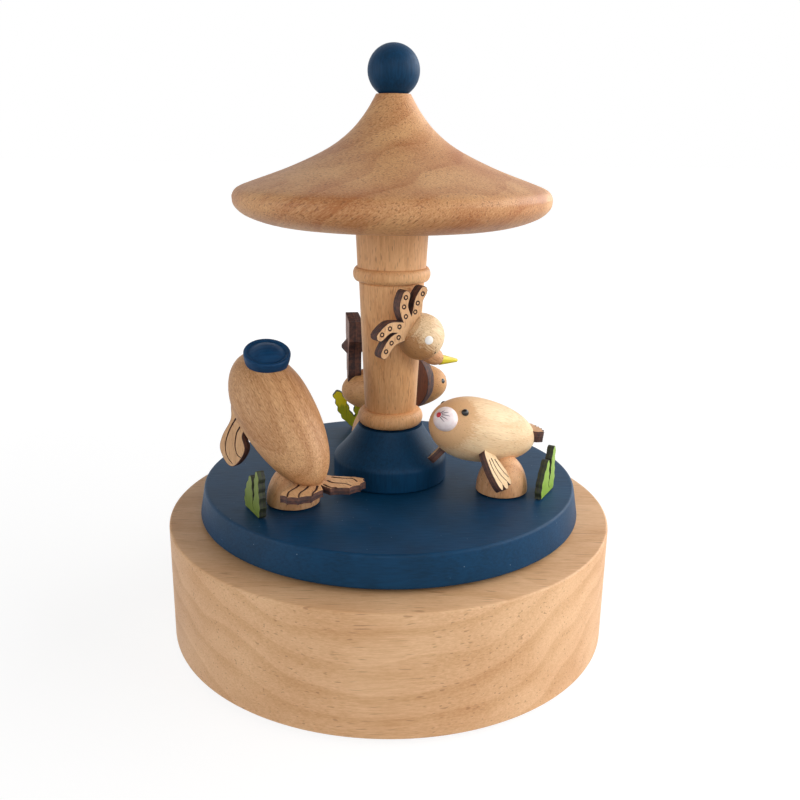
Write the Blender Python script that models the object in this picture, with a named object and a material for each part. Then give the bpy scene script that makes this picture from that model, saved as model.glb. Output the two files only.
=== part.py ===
"""A wind-up wooden carousel music box with sea animals on its turntable.

Metres, +Z up. The origin is the middle of the plane that the box rests on. Turning the turntable
winds the comb movement in the drum, and the movement turns it back while it plays.
"""

import math

import bmesh
import bpy
from mathutils import Matrix, Vector

MM = 0.001
GAP = 0.3 * MM  # clearance wherever pieces rest on, fit into or cut each other
WELD = 0.001 * MM
SHARP_ANGLE = math.radians(32)

# Felt pads under the drum
PAD_COUNT = 3
PAD_RADIUS = 3.0 * MM
PAD_THICKNESS = 1.0 * MM

# Base drum, hollowed from below, with a recess for the bottom cover
DRUM_RADIUS = 60.0 * MM
DRUM_HEIGHT = 32.1 * MM
DRUM_EDGE = 0.5 * MM
DRUM_TOP_WALL = 7.0 * MM
CAVITY_RADIUS = 46.0 * MM
COVER_LEDGE = 5.0 * MM  # how far the recess reaches past the cavity, to carry the cover
COVER_THICKNESS = 3.0 * MM
DRUM_STEPS = 48

# Wood screws
COVER_SCREW_COUNT = 3
SCREW_HEAD_RADIUS = 1.9 * MM
SCREW_HEAD_HEIGHT = 1.2 * MM
SCREW_RADIUS = 0.9 * MM
COVER_SCREW_LENGTH = 9.0 * MM
BED_SCREW_LENGTH = 6.0 * MM
COMB_SCREW_LENGTH = 5.0 * MM
SCREW_TIP = 1.2 * MM
SCREW_STEPS = 10

# Turntable and what joins it to the winding arbor
TURNTABLE_TOP_RADIUS = 49.4 * MM
TURNTABLE_SIDE_RADIUS = 51.6 * MM
TURNTABLE_THICKNESS = 8.1 * MM
TURNTABLE_ROUND = 1.2 * MM
TURNTABLE_LIFT = 1.2 * MM  # air between drum and turntable
ARBOR_RADIUS = 1.8 * MM
ARBOR_HOLE_CLEARANCE = 1.2 * MM  # in the drum top, where nothing touches the arbor
WASHER_RADIUS = 7.0 * MM
NUT_RADIUS = 3.5 * MM
NUT_DEPTH = 5.0 * MM
NUT_FLANGE_RADIUS = 8.0 * MM
NUT_FLANGE_THICKNESS = 1.2 * MM
TURNTABLE_STEPS = 48

# Centre cone, column, roof and ball
CONE_RADIUS = 15.4 * MM
CONE_BAND_HEIGHT = 6.0 * MM
CONE_TOP_RADIUS = 8.7 * MM
CONE_HEIGHT = 14.6 * MM
CONE_HOLLOW = 0.5 * MM  # how far the flare sags inside a straight cone
TENON_RADIUS = 5.0 * MM
COLUMN_FOOT_RADIUS = 6.9 * MM
COLUMN_NECK_RADIUS = 8.5 * MM
COLUMN_TOP_RADIUS = 9.4 * MM
COLUMN_HEIGHT = 52.3 * MM  # from the cone to the underside of the roof
COLLAR_RADIUS = 8.8 * MM
COLLAR_HEIGHT = 4.0 * MM
BEAD_RADIUS = 10.1 * MM
BEAD_HEIGHT = 3.6 * MM
BEAD_FALL = 9.8 * MM  # from the roof down to the top of the bead
ROOF_TENON_RADIUS = 6.0 * MM
ROOF_TENON_HEIGHT = 9.0 * MM
ROOF_RADIUS = 40.3 * MM
ROOF_RIM_HEIGHT = 8.0 * MM  # from the underside to the widest part
ROOF_HEIGHT = 32.6 * MM
ROOF_CROWN_RADIUS = 4.3 * MM
BALL_RADIUS = 6.45 * MM
BALL_SINK = 1.0 * MM  # how deep the ball sits in the roof's crown
DOWEL_RADIUS = 1.5 * MM
DOWEL_LENGTH = 13.0 * MM
ROOF_STEPS = 44
CONE_STEPS = 32
COLUMN_STEPS = 24
BALL_STEPS = 24

# Movement, measured down from the bedplate's upper face; the cylinder runs along X
BED_THICKNESS = 1.6 * MM
BED_LEFT = 13.5 * MM
BED_RIGHT = 38.0 * MM
BED_FRONT = 26.5 * MM
BED_BACK = 19.5 * MM
BED_CHAMFER = 6.5 * MM
HOUSING_RADIUS = 11.0 * MM
HOUSING_HEIGHT = 7.8 * MM
HOUSING_WALL = 0.8 * MM
SPRING_TURNS = 3
SPRING_THICKNESS = 0.3 * MM
SPRING_STEPS = 16
TOOTH_ABOVE = 0.7  # of the module, above the pitch circle
TOOTH_BELOW = 0.95  # of the module, below the pitch circle
TOOTH_TIP_SHARE = 0.2  # of the tooth pitch
TOOTH_ROOT_SHARE = 0.5
CROWN_TEETH = 36
CROWN_RADIUS = 11.2 * MM
CROWN_BAND = 1.6 * MM
CROWN_THICKNESS = 1.2 * MM
PINION_TEETH = 9
PINION_LENGTH = 1.3 * MM
SHAFT_RADIUS = 0.9 * MM
POST_WIDTH = 1.4 * MM
POST_MARGIN = 1.3 * MM  # brass left around a shaft hole
CYLINDER_RADIUS = 5.6 * MM
CYLINDER_LENGTH = 17.2 * MM
PIN_HEIGHT = 0.55 * MM
PIN_RADIUS = 0.28 * MM
PINS_PER_TRACK = 2
COMB_TEETH = 18
COMB_PITCH = 0.92 * MM
COMB_TOOTH_WIDTH = 0.6 * MM
COMB_TOOTH_LENGTH = 12.0 * MM
COMB_BACK_LENGTH = 7.0 * MM
COMB_THICKNESS = 0.9 * MM
GEAR_MODULE = 0.375 * MM
GEAR_TEETH = 32
GEAR_WIDTH = 1.0 * MM
GOVERNOR_PINION_TEETH = 8
GOVERNOR_SHAFT_RADIUS = 0.7 * MM
WORM_MODULE = 0.37 * MM
WHEEL_TEETH = 24
WHEEL_WIDTH = 1.2 * MM
WORM_CORE = 0.75 * MM
WORM_TURNS = 4
WORM_STEPS = 10
WORM_SHAFT_RADIUS = 0.55 * MM
FLY_RADIUS = 3.6 * MM
FLY_HEIGHT = 4.0 * MM
FLY_THICKNESS = 0.4 * MM
FRAME_THICKNESS = 1.0 * MM
FRAME_WIDTH = 4.0 * MM

# Stands and animals; places are measured from the middle of the turntable's top
PLY = 1.8 * MM
THICK_PLY = 3.0 * MM
TAIL_BLOCK = 3.9 * MM
STAND_CIRCLE = 31.8 * MM
STAND_FIRST_ANGLE = math.radians(-20.6)
STAND_ANGLE_STEP = math.radians(120)
STAND_RADIUS = 6.8 * MM
STAND_HEIGHT = 10.0 * MM
EYE_RADIUS = 0.9 * MM
MUZZLE_RADIUS = 3.1 * MM
WEED_CIRCLE = 43.0 * MM
WEED_HEIGHT = 12.0 * MM
WEED_WIDTH = 10.4 * MM
WEED_TURN = math.radians(-10)
FIGURE_STEPS = 20


class Egg:
    """A turned egg along Z, widest at its origin, with a tail end below and a head end above."""

    def __init__(self, radius, tail, head, fullness=1.0):
        self.radius = radius
        self.tail = tail
        self.head = head
        self.fullness = fullness  # below 1 makes both ends blunter

    def point(self, along, grow=0.0):
        """Radius and height at an angle that runs from 0 at the tail end to pi at the head end."""
        reach = self.tail if along < math.pi / 2 else self.head
        width = math.sin(along) ** self.fullness
        return (self.radius + grow) * width, -(reach + grow) * math.cos(along)

    def profile(self, grow=0.0, rings=10, start=0.0):
        """From the tail end to the head end; a start angle above 0 cuts the tail off flat."""
        turn = math.pi - start
        points = [self.point(start + turn * ring / rings, grow) for ring in range(rings + 1)]
        points[-1] = (0.0, points[-1][1])
        if start > 0:
            return [(0.0, points[0][1])] + points
        points[0] = (0.0, points[0][1])
        return points

    def seat(self, along, around):
        """Place and turn of a piece that stands on the surface with its own Z pointing out."""
        radius, height = self.point(along)
        spot = Vector((radius * math.cos(around), radius * math.sin(around), height))
        reach = self.tail if along < math.pi / 2 else self.head
        out = Vector((spot.x / self.radius**2, spot.y / self.radius**2, spot.z / reach**2))
        return spot, out.to_track_quat("Z", "Y").to_euler()


def clear_scene():
    for obj in list(bpy.data.objects):
        bpy.data.objects.remove(obj, do_unlink=True)


def finish(name, red, green, blue, roughness, metallic=0.0):
    material = bpy.data.materials.new(name)
    material.use_nodes = True
    material.diffuse_color = (red, green, blue, 1.0)
    shader = material.node_tree.nodes["Principled BSDF"]
    shader.inputs["Base Color"].default_value = (red, green, blue, 1.0)
    shader.inputs["Roughness"].default_value = roughness
    shader.inputs["Metallic"].default_value = metallic
    return material


def empty(name, parent, location, rotation=(0.0, 0.0, 0.0)):
    obj = bpy.data.objects.new(name, None)
    bpy.context.collection.objects.link(obj)
    obj.parent = parent
    obj.location = location
    obj.rotation_euler = rotation
    return obj


def piece(name, mesh, material, parent, location=(0.0, 0.0, 0.0), rotation=(0.0, 0.0, 0.0)):
    obj = bpy.data.objects.new(name, mesh)
    bpy.context.collection.objects.link(obj)
    if material:
        mesh.materials.append(material)
    obj.parent = parent
    obj.location = location
    obj.rotation_euler = rotation
    return obj


def tool(name, mesh, parent, location=(0.0, 0.0, 0.0), rotation=(0.0, 0.0, 0.0)):
    """A shape that only cuts or joins: it isn't a piece of the box."""
    obj = piece(name, mesh, None, parent, location, rotation)
    obj.hide_render = True
    obj.display_type = "WIRE"
    return obj


def combine(target, other, operation):
    modifier = target.modifiers.new(other.name, "BOOLEAN")
    modifier.operation = operation
    modifier.object = other
    modifier.solver = "EXACT"


def cut(target, other):
    combine(target, other, "DIFFERENCE")


def join(target, other):
    combine(target, other, "UNION")


def mesh_from(shape):
    bmesh.ops.recalc_face_normals(shape, faces=shape.faces)
    mesh = bpy.data.meshes.new("shape")
    shape.to_mesh(mesh)
    shape.free()
    mesh.shade_smooth()
    mesh.set_sharp_from_angle(angle=SHARP_ANGLE)
    return mesh


def turned(profile, steps):
    """Spins (radius, height) points about Z; a profile that starts off the axis is a closed loop."""
    shape = bmesh.new()
    points = [shape.verts.new((radius, 0.0, height)) for radius, height in profile]
    edges = [shape.edges.new(pair) for pair in zip(points, points[1:])]
    if profile[0][0] > 0:
        edges.append(shape.edges.new((points[-1], points[0])))
    bmesh.ops.spin(
        shape, geom=points + edges, axis=(0, 0, 1), cent=(0, 0, 0), angle=2 * math.pi, steps=steps
    )
    bmesh.ops.remove_doubles(shape, verts=shape.verts, dist=WELD)
    return mesh_from(shape)


def tube(inner, outer, bottom, top, steps):
    return turned([(inner, bottom), (outer, bottom), (outer, top), (inner, top)], steps)


def rod(radius, bottom, top, steps):
    return turned([(0.0, bottom), (radius, bottom), (radius, top), (0.0, top)], steps)


def block(low, high):
    shape = bmesh.new()
    middle = (Vector(low) + Vector(high)) / 2
    size = Vector(high) - Vector(low)
    bmesh.ops.create_cube(shape, size=1.0, matrix=Matrix.LocRotScale(middle, None, size))
    return mesh_from(shape)


def plate(outline, thickness):
    """An outline in XY, extruded to equal depths above and below it."""
    shape = bmesh.new()
    face = shape.faces.new([shape.verts.new((x, y, -thickness / 2)) for x, y in outline])
    grown = bmesh.ops.extrude_face_region(shape, geom=[face])
    top = [item for item in grown["geom"] if isinstance(item, bmesh.types.BMVert)]
    bmesh.ops.translate(shape, verts=top, vec=(0, 0, thickness))
    return mesh_from(shape)


def swept(sections):
    """A closed solid through equal rings of points."""
    shape = bmesh.new()
    rings = [[shape.verts.new(point) for point in section] for section in sections]
    for ring, following in zip(rings, rings[1:]):
        for side in range(len(ring)):
            ahead = (side + 1) % len(ring)
            shape.faces.new((ring[side], ring[ahead], following[ahead], following[side]))
    shape.faces.new(rings[0])
    shape.faces.new(rings[-1])
    return mesh_from(shape)


def smooth_loop(points, steps):
    """A closed curve through the points, with the given number of steps between neighbours."""
    count = len(points)
    curve = []
    for index in range(count):
        before, start, end, after = (Vector(points[(index + k) % count]) for k in (-1, 0, 1, 2))
        for step in range(steps):
            t = step / steps
            linear = (end - before) * t
            square = (2 * before - 5 * start + 4 * end - after) * t * t
            cubic = (3 * start - before - 3 * end + after) * t**3
            curve.append(tuple(start + (linear + square + cubic) / 2))
    return curve


def scallops(start, end, count, bulge, steps=4):
    """Round finger ends in a row from start to end, bulging to the left of that line."""
    start = Vector(start)
    end = Vector(end)
    way = (end - start) / count
    out = Vector((-way.y, way.x)).normalized() * bulge
    points = []
    for finger in range(count):
        for step in range(steps):
            turn = math.pi * step / steps
            across = (1 - math.cos(turn)) / 2
            points.append(tuple(start + way * (finger + across) + out * math.sin(turn)))
    return points + [tuple(end)]


def pitch_radius(teeth, module):
    return teeth * module / 2


def gear_outline(teeth, module):
    """Straight-sided teeth, narrower at the tip; the first one is centred on X."""
    root = pitch_radius(teeth, module) - TOOTH_BELOW * module
    tip = pitch_radius(teeth, module) + TOOTH_ABOVE * module
    root_half = TOOTH_ROOT_SHARE * math.pi * module / 2 / root
    tip_half = TOOTH_TIP_SHARE * math.pi * module / 2 / tip
    points = []
    for tooth in range(teeth):
        middle = 2 * math.pi * tooth / teeth
        for radius, offset in ((root, -root_half), (tip, -tip_half), (tip, tip_half), (root, root_half)):
            points.append((radius * math.cos(middle + offset), radius * math.sin(middle + offset)))
    return points


def attitude(length_way, face_way):
    """Turns a plate so that its Y runs along length_way and its Z looks towards face_way."""
    along = Vector(length_way).normalized()
    across = along.cross(Vector(face_way)).normalized()
    facing = across.cross(along)
    return Matrix((across, along, facing)).transposed().to_euler()


def around_axis(radius, angle, height=0.0):
    return Vector((radius * math.cos(angle), radius * math.sin(angle), height))


def screw_profile(length, grow=0.0):
    """A countersunk screw from its head up; one that is grown to cut a hole also starts lower."""
    return [
        (0.0, -4 * grow),
        (SCREW_HEAD_RADIUS + grow, -4 * grow),
        (SCREW_HEAD_RADIUS + grow, grow),
        (SCREW_RADIUS + grow, SCREW_HEAD_HEIGHT + grow),
        (SCREW_RADIUS + grow, length - SCREW_TIP + grow),
        (0.0, length + grow),
    ]


def screw(name, location, length, parent, material, targets):
    """A countersunk screw pointing up, and its hole in each target."""
    driven = piece(name, turned(screw_profile(length), SCREW_STEPS), material, parent, location)
    hole = tool(name + "_hole", turned(screw_profile(length, GAP), SCREW_STEPS), parent, location)
    for target in targets:
        cut(target, hole)
    return driven


def build_drum(root, beech, birch, felt, steel):
    """The hollow drum, its cover, screws and pads. Its empty sits at the drum's lower face."""
    drum_frame = empty("drum_frame", root, (0, 0, PAD_THICKNESS + GAP))
    hole = ARBOR_RADIUS + ARBOR_HOLE_CLEARANCE
    ceiling = DRUM_HEIGHT - DRUM_TOP_WALL
    ledge = COVER_THICKNESS + GAP
    recess = CAVITY_RADIUS + COVER_LEDGE
    profile = [
        (recess, 0.0),
        (DRUM_RADIUS - DRUM_EDGE, 0.0),
        (DRUM_RADIUS, DRUM_EDGE),
        (DRUM_RADIUS, DRUM_HEIGHT - DRUM_EDGE),
        (DRUM_RADIUS - DRUM_EDGE, DRUM_HEIGHT),
        (hole, DRUM_HEIGHT),
        (hole, ceiling),
        (CAVITY_RADIUS, ceiling),
        (CAVITY_RADIUS, ledge),
        (recess, ledge),
    ]
    drum = piece("base_drum", turned(profile, DRUM_STEPS), beech, drum_frame)
    cover_mesh = rod(recess - GAP, 0.0, COVER_THICKNESS, DRUM_STEPS)
    cover = piece("bottom_cover", cover_mesh, birch, drum_frame)
    screw_circle = CAVITY_RADIUS + 2 * SCREW_RADIUS
    for number in range(COVER_SCREW_COUNT):
        place = around_axis(screw_circle, 2 * math.pi * (number + 0.5) / COVER_SCREW_COUNT, GAP)
        screw(f"cover_screw_{number + 1}", place, COVER_SCREW_LENGTH, drum_frame, steel, (cover, drum))
    pad_circle = recess + GAP + PAD_RADIUS
    for number in range(PAD_COUNT):
        place = around_axis(pad_circle, 2 * math.pi * (number + 0.25) / PAD_COUNT)
        piece(f"felt_pad_{number + 1}", rod(PAD_RADIUS, 0.0, PAD_THICKNESS, 16), felt, root, place)
    return drum_frame, drum


def crown_module():
    return 2 * (CROWN_RADIUS - CROWN_BAND / 2) / CROWN_TEETH


def shaft_height():
    """Height of the cylinder's axis, at which the pinion meets the teeth under the crown wheel."""
    crown_face = -(BED_THICKNESS + GAP + HOUSING_HEIGHT + GAP + CROWN_THICKNESS)
    module = crown_module()
    return crown_face - TOOTH_BELOW * module - pitch_radius(PINION_TEETH, module)


def cylinder_start():
    """Where the pinned cylinder begins, past the crown wheel, the first post and their clearances."""
    return CROWN_RADIUS + GAP + POST_WIDTH + 2 * GAP


def gear_start():
    return cylinder_start() + CYLINDER_LENGTH + GAP


def second_post():
    return gear_start() + GEAR_WIDTH + GAP


def wheel_start():
    return second_post() + POST_WIDTH + GAP


def comb_tip():
    """Distance of the comb's tips from the cylinder's axis, just outside the pins' path."""
    return CYLINDER_RADIUS + PIN_HEIGHT + GAP


def governor_offset():
    return pitch_radius(GEAR_TEETH + GOVERNOR_PINION_TEETH, GEAR_MODULE)


def worm_radius():
    """Outer radius of the worm's thread, which reaches as deep as a wheel's tooth."""
    return WORM_CORE + (TOOTH_ABOVE + TOOTH_BELOW) * WORM_MODULE


def worm_offset():
    contact = WORM_CORE + TOOTH_BELOW * WORM_MODULE
    return governor_offset() + pitch_radius(WHEEL_TEETH, WORM_MODULE) + contact


def build_bedplate(frame, drum, brass, steel):
    """The cast bedplate with two bearing posts and the rail that the comb is screwed to."""
    axis = shaft_height()
    outline = [
        (-BED_LEFT, -BED_FRONT),
        (BED_RIGHT - BED_CHAMFER, -BED_FRONT),
        (BED_RIGHT, -BED_FRONT + BED_CHAMFER),
        (BED_RIGHT, BED_BACK),
        (-BED_LEFT, BED_BACK),
    ]
    bed = piece("bedplate", plate(outline, BED_THICKNESS), brass, frame, (0, 0, -BED_THICKNESS / 2))
    half = SHAFT_RADIUS + POST_MARGIN
    low = axis - half
    top = -BED_THICKNESS / 2
    first = CROWN_RADIUS + GAP
    reach = governor_offset() + GOVERNOR_SHAFT_RADIUS + POST_MARGIN
    comb_front = -(comb_tip() + COMB_TOOTH_LENGTH)
    comb_back = comb_front - COMB_BACK_LENGTH
    rail_low = axis + COMB_THICKNESS / 2 + GAP
    blocks = [
        ("post_one", (first, -half, low), (first + POST_WIDTH, half, top)),
        ("post_two", (second_post(), -half, low), (second_post() + POST_WIDTH, reach, top)),
        ("comb_rail", (cylinder_start(), comb_back, rail_low), (gear_start() - GAP, comb_front, top)),
    ]
    for name, near, far in blocks:
        join(bed, tool(name, block(near, far), frame))
    lie = (0, math.pi / 2, 0)
    shafts = [
        ("shaft_hole", SHAFT_RADIUS, 0.0),
        ("governor_hole", GOVERNOR_SHAFT_RADIUS, governor_offset()),
    ]
    for name, radius, offset in shafts:
        hole = rod(radius + GAP, 0.0, BED_RIGHT + POST_WIDTH, 16)
        cut(bed, tool(name, hole, frame, (0, offset, axis), lie))
    hole = rod(ARBOR_RADIUS + GAP, -2 * BED_THICKNESS, BED_THICKNESS, 16)
    cut(bed, tool("arbor_hole", hole, frame))
    inset = 2 * SCREW_HEAD_RADIUS
    corners = [
        (-BED_LEFT + inset, -BED_FRONT + inset),
        (-BED_LEFT + inset, BED_BACK - inset),
        (BED_RIGHT - inset, -BED_FRONT + BED_CHAMFER + inset),
    ]
    for number, (x, y) in enumerate(corners):
        place = (x, y, -BED_THICKNESS - GAP)
        screw(f"bed_screw_{number + 1}", place, BED_SCREW_LENGTH, frame, steel, (bed, drum))
    return bed


def build_spring(frame, steel, dark_steel):
    """The spring housing under the bedplate, with the mainspring wound round the arbor."""
    top = -BED_THICKNESS - GAP
    bottom = top - HOUSING_HEIGHT
    inner = HOUSING_RADIUS - HOUSING_WALL
    hole = ARBOR_RADIUS + GAP
    profile = [
        (hole, top),
        (hole, top - HOUSING_WALL),
        (inner, top - HOUSING_WALL),
        (inner, bottom),
        (HOUSING_RADIUS, bottom),
        (HOUSING_RADIUS, top),
    ]
    piece("spring_housing", turned(profile, 32), steel, frame)
    sections = []
    start = ARBOR_RADIUS + GAP
    end = inner - GAP - SPRING_THICKNESS
    steps = SPRING_TURNS * SPRING_STEPS
    low = bottom + 2 * GAP
    high = top - HOUSING_WALL - GAP
    for step in range(steps + 1):
        angle = 2 * math.pi * SPRING_TURNS * step / steps
        radius = start + (end - start) * step / steps
        near = around_axis(radius, angle)
        far = around_axis(radius + SPRING_THICKNESS, angle)
        corners = ((near, low), (far, low), (far, high), (near, high))
        sections.append([(corner.x, corner.y, height) for corner, height in corners])
    piece("mainspring", swept(sections), dark_steel, frame)


def build_comb(frame, bed, steel, brass):
    """The comb, tips towards the cylinder, and its two screws up into the rail."""
    axis = shaft_height()
    first = cylinder_start() + (CYLINDER_LENGTH - (COMB_TEETH - 1) * COMB_PITCH) / 2
    half = COMB_TOOTH_WIDTH / 2
    root = -COMB_TOOTH_LENGTH
    left = first - COMB_PITCH / 2
    right = first + (COMB_TEETH - 0.5) * COMB_PITCH
    outline = [(left, root - COMB_BACK_LENGTH), (right, root - COMB_BACK_LENGTH), (right, root)]
    for tooth in reversed(range(COMB_TEETH)):
        middle = first + tooth * COMB_PITCH
        outline += [(middle + half, root), (middle + half, 0.0), (middle - half, 0.0), (middle - half, root)]
    outline.append((left, root))
    comb = piece("comb", plate(outline, COMB_THICKNESS), steel, frame, (0, -comb_tip(), axis))
    for number, share in enumerate((0.2, 0.8)):
        x = left + (right - left) * share
        y = -comb_tip() + root - COMB_BACK_LENGTH / 2
        place = (x, y, axis - COMB_THICKNESS / 2 - GAP)
        screw(f"comb_screw_{number + 1}", place, COMB_SCREW_LENGTH, frame, brass, (comb, bed))


def build_cylinder(frame, brass, steel):
    """The pinned cylinder, its shaft with the pinion, and the gear at its far end, along the shaft's X."""
    pivot = empty("cylinder_pivot", frame, (0, 0, shaft_height()))
    lie = (0, math.pi / 2, 0)
    start = cylinder_start()
    sleeve_mesh = tube(SHAFT_RADIUS + GAP, CYLINDER_RADIUS, start, start + CYLINDER_LENGTH, 36)
    sleeve = piece("pinned_cylinder", sleeve_mesh, brass, pivot, (0, 0, 0), lie)
    pins = bmesh.new()
    first = start + (CYLINDER_LENGTH - (COMB_TEETH - 1) * COMB_PITCH) / 2
    for track in range(COMB_TEETH):
        for note in range(PINS_PER_TRACK):
            beat = (7 * track + 12 * note + track * note) % 36
            out = around_axis(CYLINDER_RADIUS, math.radians(10) * beat, first + track * COMB_PITCH)
            turn = Vector((out.x, out.y, 0)).to_track_quat("Z", "Y").to_matrix().to_4x4()
            bmesh.ops.create_cone(
                pins,
                cap_ends=True,
                segments=4,
                radius1=PIN_RADIUS,
                radius2=PIN_RADIUS * 0.6,
                depth=2 * PIN_HEIGHT,
                matrix=Matrix.Translation(out) @ turn,
            )
    join(sleeve, tool("cylinder_pins", mesh_from(pins), sleeve))
    pinion_start = CROWN_RADIUS - (CROWN_BAND + PINION_LENGTH) / 2
    end = second_post() + POST_WIDTH
    shaft = piece("cylinder_shaft", rod(SHAFT_RADIUS, pinion_start, end, 16), steel, pivot, (0, 0, 0), lie)
    teeth = plate(gear_outline(PINION_TEETH, crown_module()), PINION_LENGTH)
    place = (0, 0, pinion_start + PINION_LENGTH / 2)
    gap_on_top = math.pi + math.pi / PINION_TEETH
    join(shaft, tool("pinion_teeth", teeth, shaft, place, (0, 0, gap_on_top)))
    wheel_mesh = plate(gear_outline(GEAR_TEETH, GEAR_MODULE), GEAR_WIDTH)
    place = (gear_start() + GEAR_WIDTH / 2, 0, 0)
    wheel = piece("cylinder_gear", wheel_mesh, brass, pivot, place, lie)
    cut(wheel, tool("gear_bore", rod(SHAFT_RADIUS + GAP, -GEAR_WIDTH, GEAR_WIDTH, 16), wheel))


def build_governor(frame, brass, steel):
    """The governor wheel, the worm with its fly, and the bracket that holds the worm upright."""
    axis = shaft_height()
    lie = (0, math.pi / 2, 0)
    wheel_pivot = empty("governor_pivot", frame, (0, governor_offset(), axis))
    start = gear_start()
    end = wheel_start() + WHEEL_WIDTH + GAP
    shaft_mesh = rod(GOVERNOR_SHAFT_RADIUS, start, end, 16)
    shaft = piece("governor_wheel", shaft_mesh, brass, wheel_pivot, (0, 0, 0), lie)
    pinion = plate(gear_outline(GOVERNOR_PINION_TEETH, GEAR_MODULE), GEAR_WIDTH)
    place = (0, 0, start + GEAR_WIDTH / 2 + GAP / 2)
    gap_in_front = math.pi / 2 * 3 + math.pi / GOVERNOR_PINION_TEETH
    join(shaft, tool("governor_pinion", pinion, shaft, place, (0, 0, gap_in_front)))
    disc = plate(gear_outline(WHEEL_TEETH, WORM_MODULE), WHEEL_WIDTH)
    place = (0, 0, wheel_start() + WHEEL_WIDTH / 2)
    join(shaft, tool("governor_disc", disc, shaft, place, (0, 0, math.pi / 2)))

    lead = math.pi * WORM_MODULE
    worm_x = wheel_start() + WHEEL_WIDTH / 2
    worm_pivot = empty("worm_pivot", frame, (worm_x, worm_offset(), axis))
    thread_reach = lead * (WORM_TURNS + 1) / 2
    top = -BED_THICKNESS - GAP - FRAME_THICKNESS / 2 - axis
    bottom = -thread_reach - 2 * FRAME_THICKNESS
    worm = piece("worm_and_fly", rod(WORM_SHAFT_RADIUS, bottom, top, 12), steel, worm_pivot)
    core = rod(WORM_CORE, -thread_reach, thread_reach, WORM_STEPS)
    join(worm, tool("worm_core", core, worm))
    thread = swept(thread_sections(lead))
    join(worm, tool("worm_thread", thread, worm))
    fly_low = pitch_radius(WHEEL_TEETH + 2, WORM_MODULE) + GAP
    fly_half = FLY_THICKNESS / 2
    fly_mesh = block((-FLY_RADIUS, -fly_half, fly_low), (FLY_RADIUS, fly_half, fly_low + FLY_HEIGHT))
    join(worm, tool("fly_blade", fly_mesh, worm))

    wall = FLY_RADIUS + GAP
    half = FRAME_WIDTH / 2
    arm = -WORM_SHAFT_RADIUS - FRAME_THICKNESS
    low = bottom
    high = -BED_THICKNESS - GAP - axis
    bracket_mesh = block((-half, wall, low), (half, wall + FRAME_THICKNESS, high))
    bracket = piece("governor_frame", bracket_mesh, brass, worm_pivot)
    for name, height in (("lower_arm", low), ("upper_arm", high - FRAME_THICKNESS)):
        near = (-half, arm, height)
        far = (half, wall + FRAME_THICKNESS / 2, height + FRAME_THICKNESS)
        join(bracket, tool(name, block(near, far), worm_pivot))
    hole = rod(WORM_SHAFT_RADIUS + GAP, low - FRAME_THICKNESS, high + FRAME_THICKNESS, 12)
    cut(bracket, tool("worm_bearings", hole, worm_pivot))


def thread_sections(lead):
    """Cross-sections along the worm's thread, which climbs one lead a turn."""
    sections = []
    root = Vector((0, 0, lead * TOOTH_ROOT_SHARE * 0.42))
    crest = Vector((0, 0, lead * TOOTH_TIP_SHARE / 2))
    for step in range(WORM_TURNS * WORM_STEPS + 1):
        turns = step / WORM_STEPS - WORM_TURNS / 2
        height = lead * (turns + 0.5)
        inner = around_axis(WORM_CORE * 0.8, 2 * math.pi * turns - math.pi / 2, height)
        outer = around_axis(worm_radius(), 2 * math.pi * turns - math.pi / 2, height)
        sections.append([inner - root, outer - crest, outer + crest, inner + root])
    return sections


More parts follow.
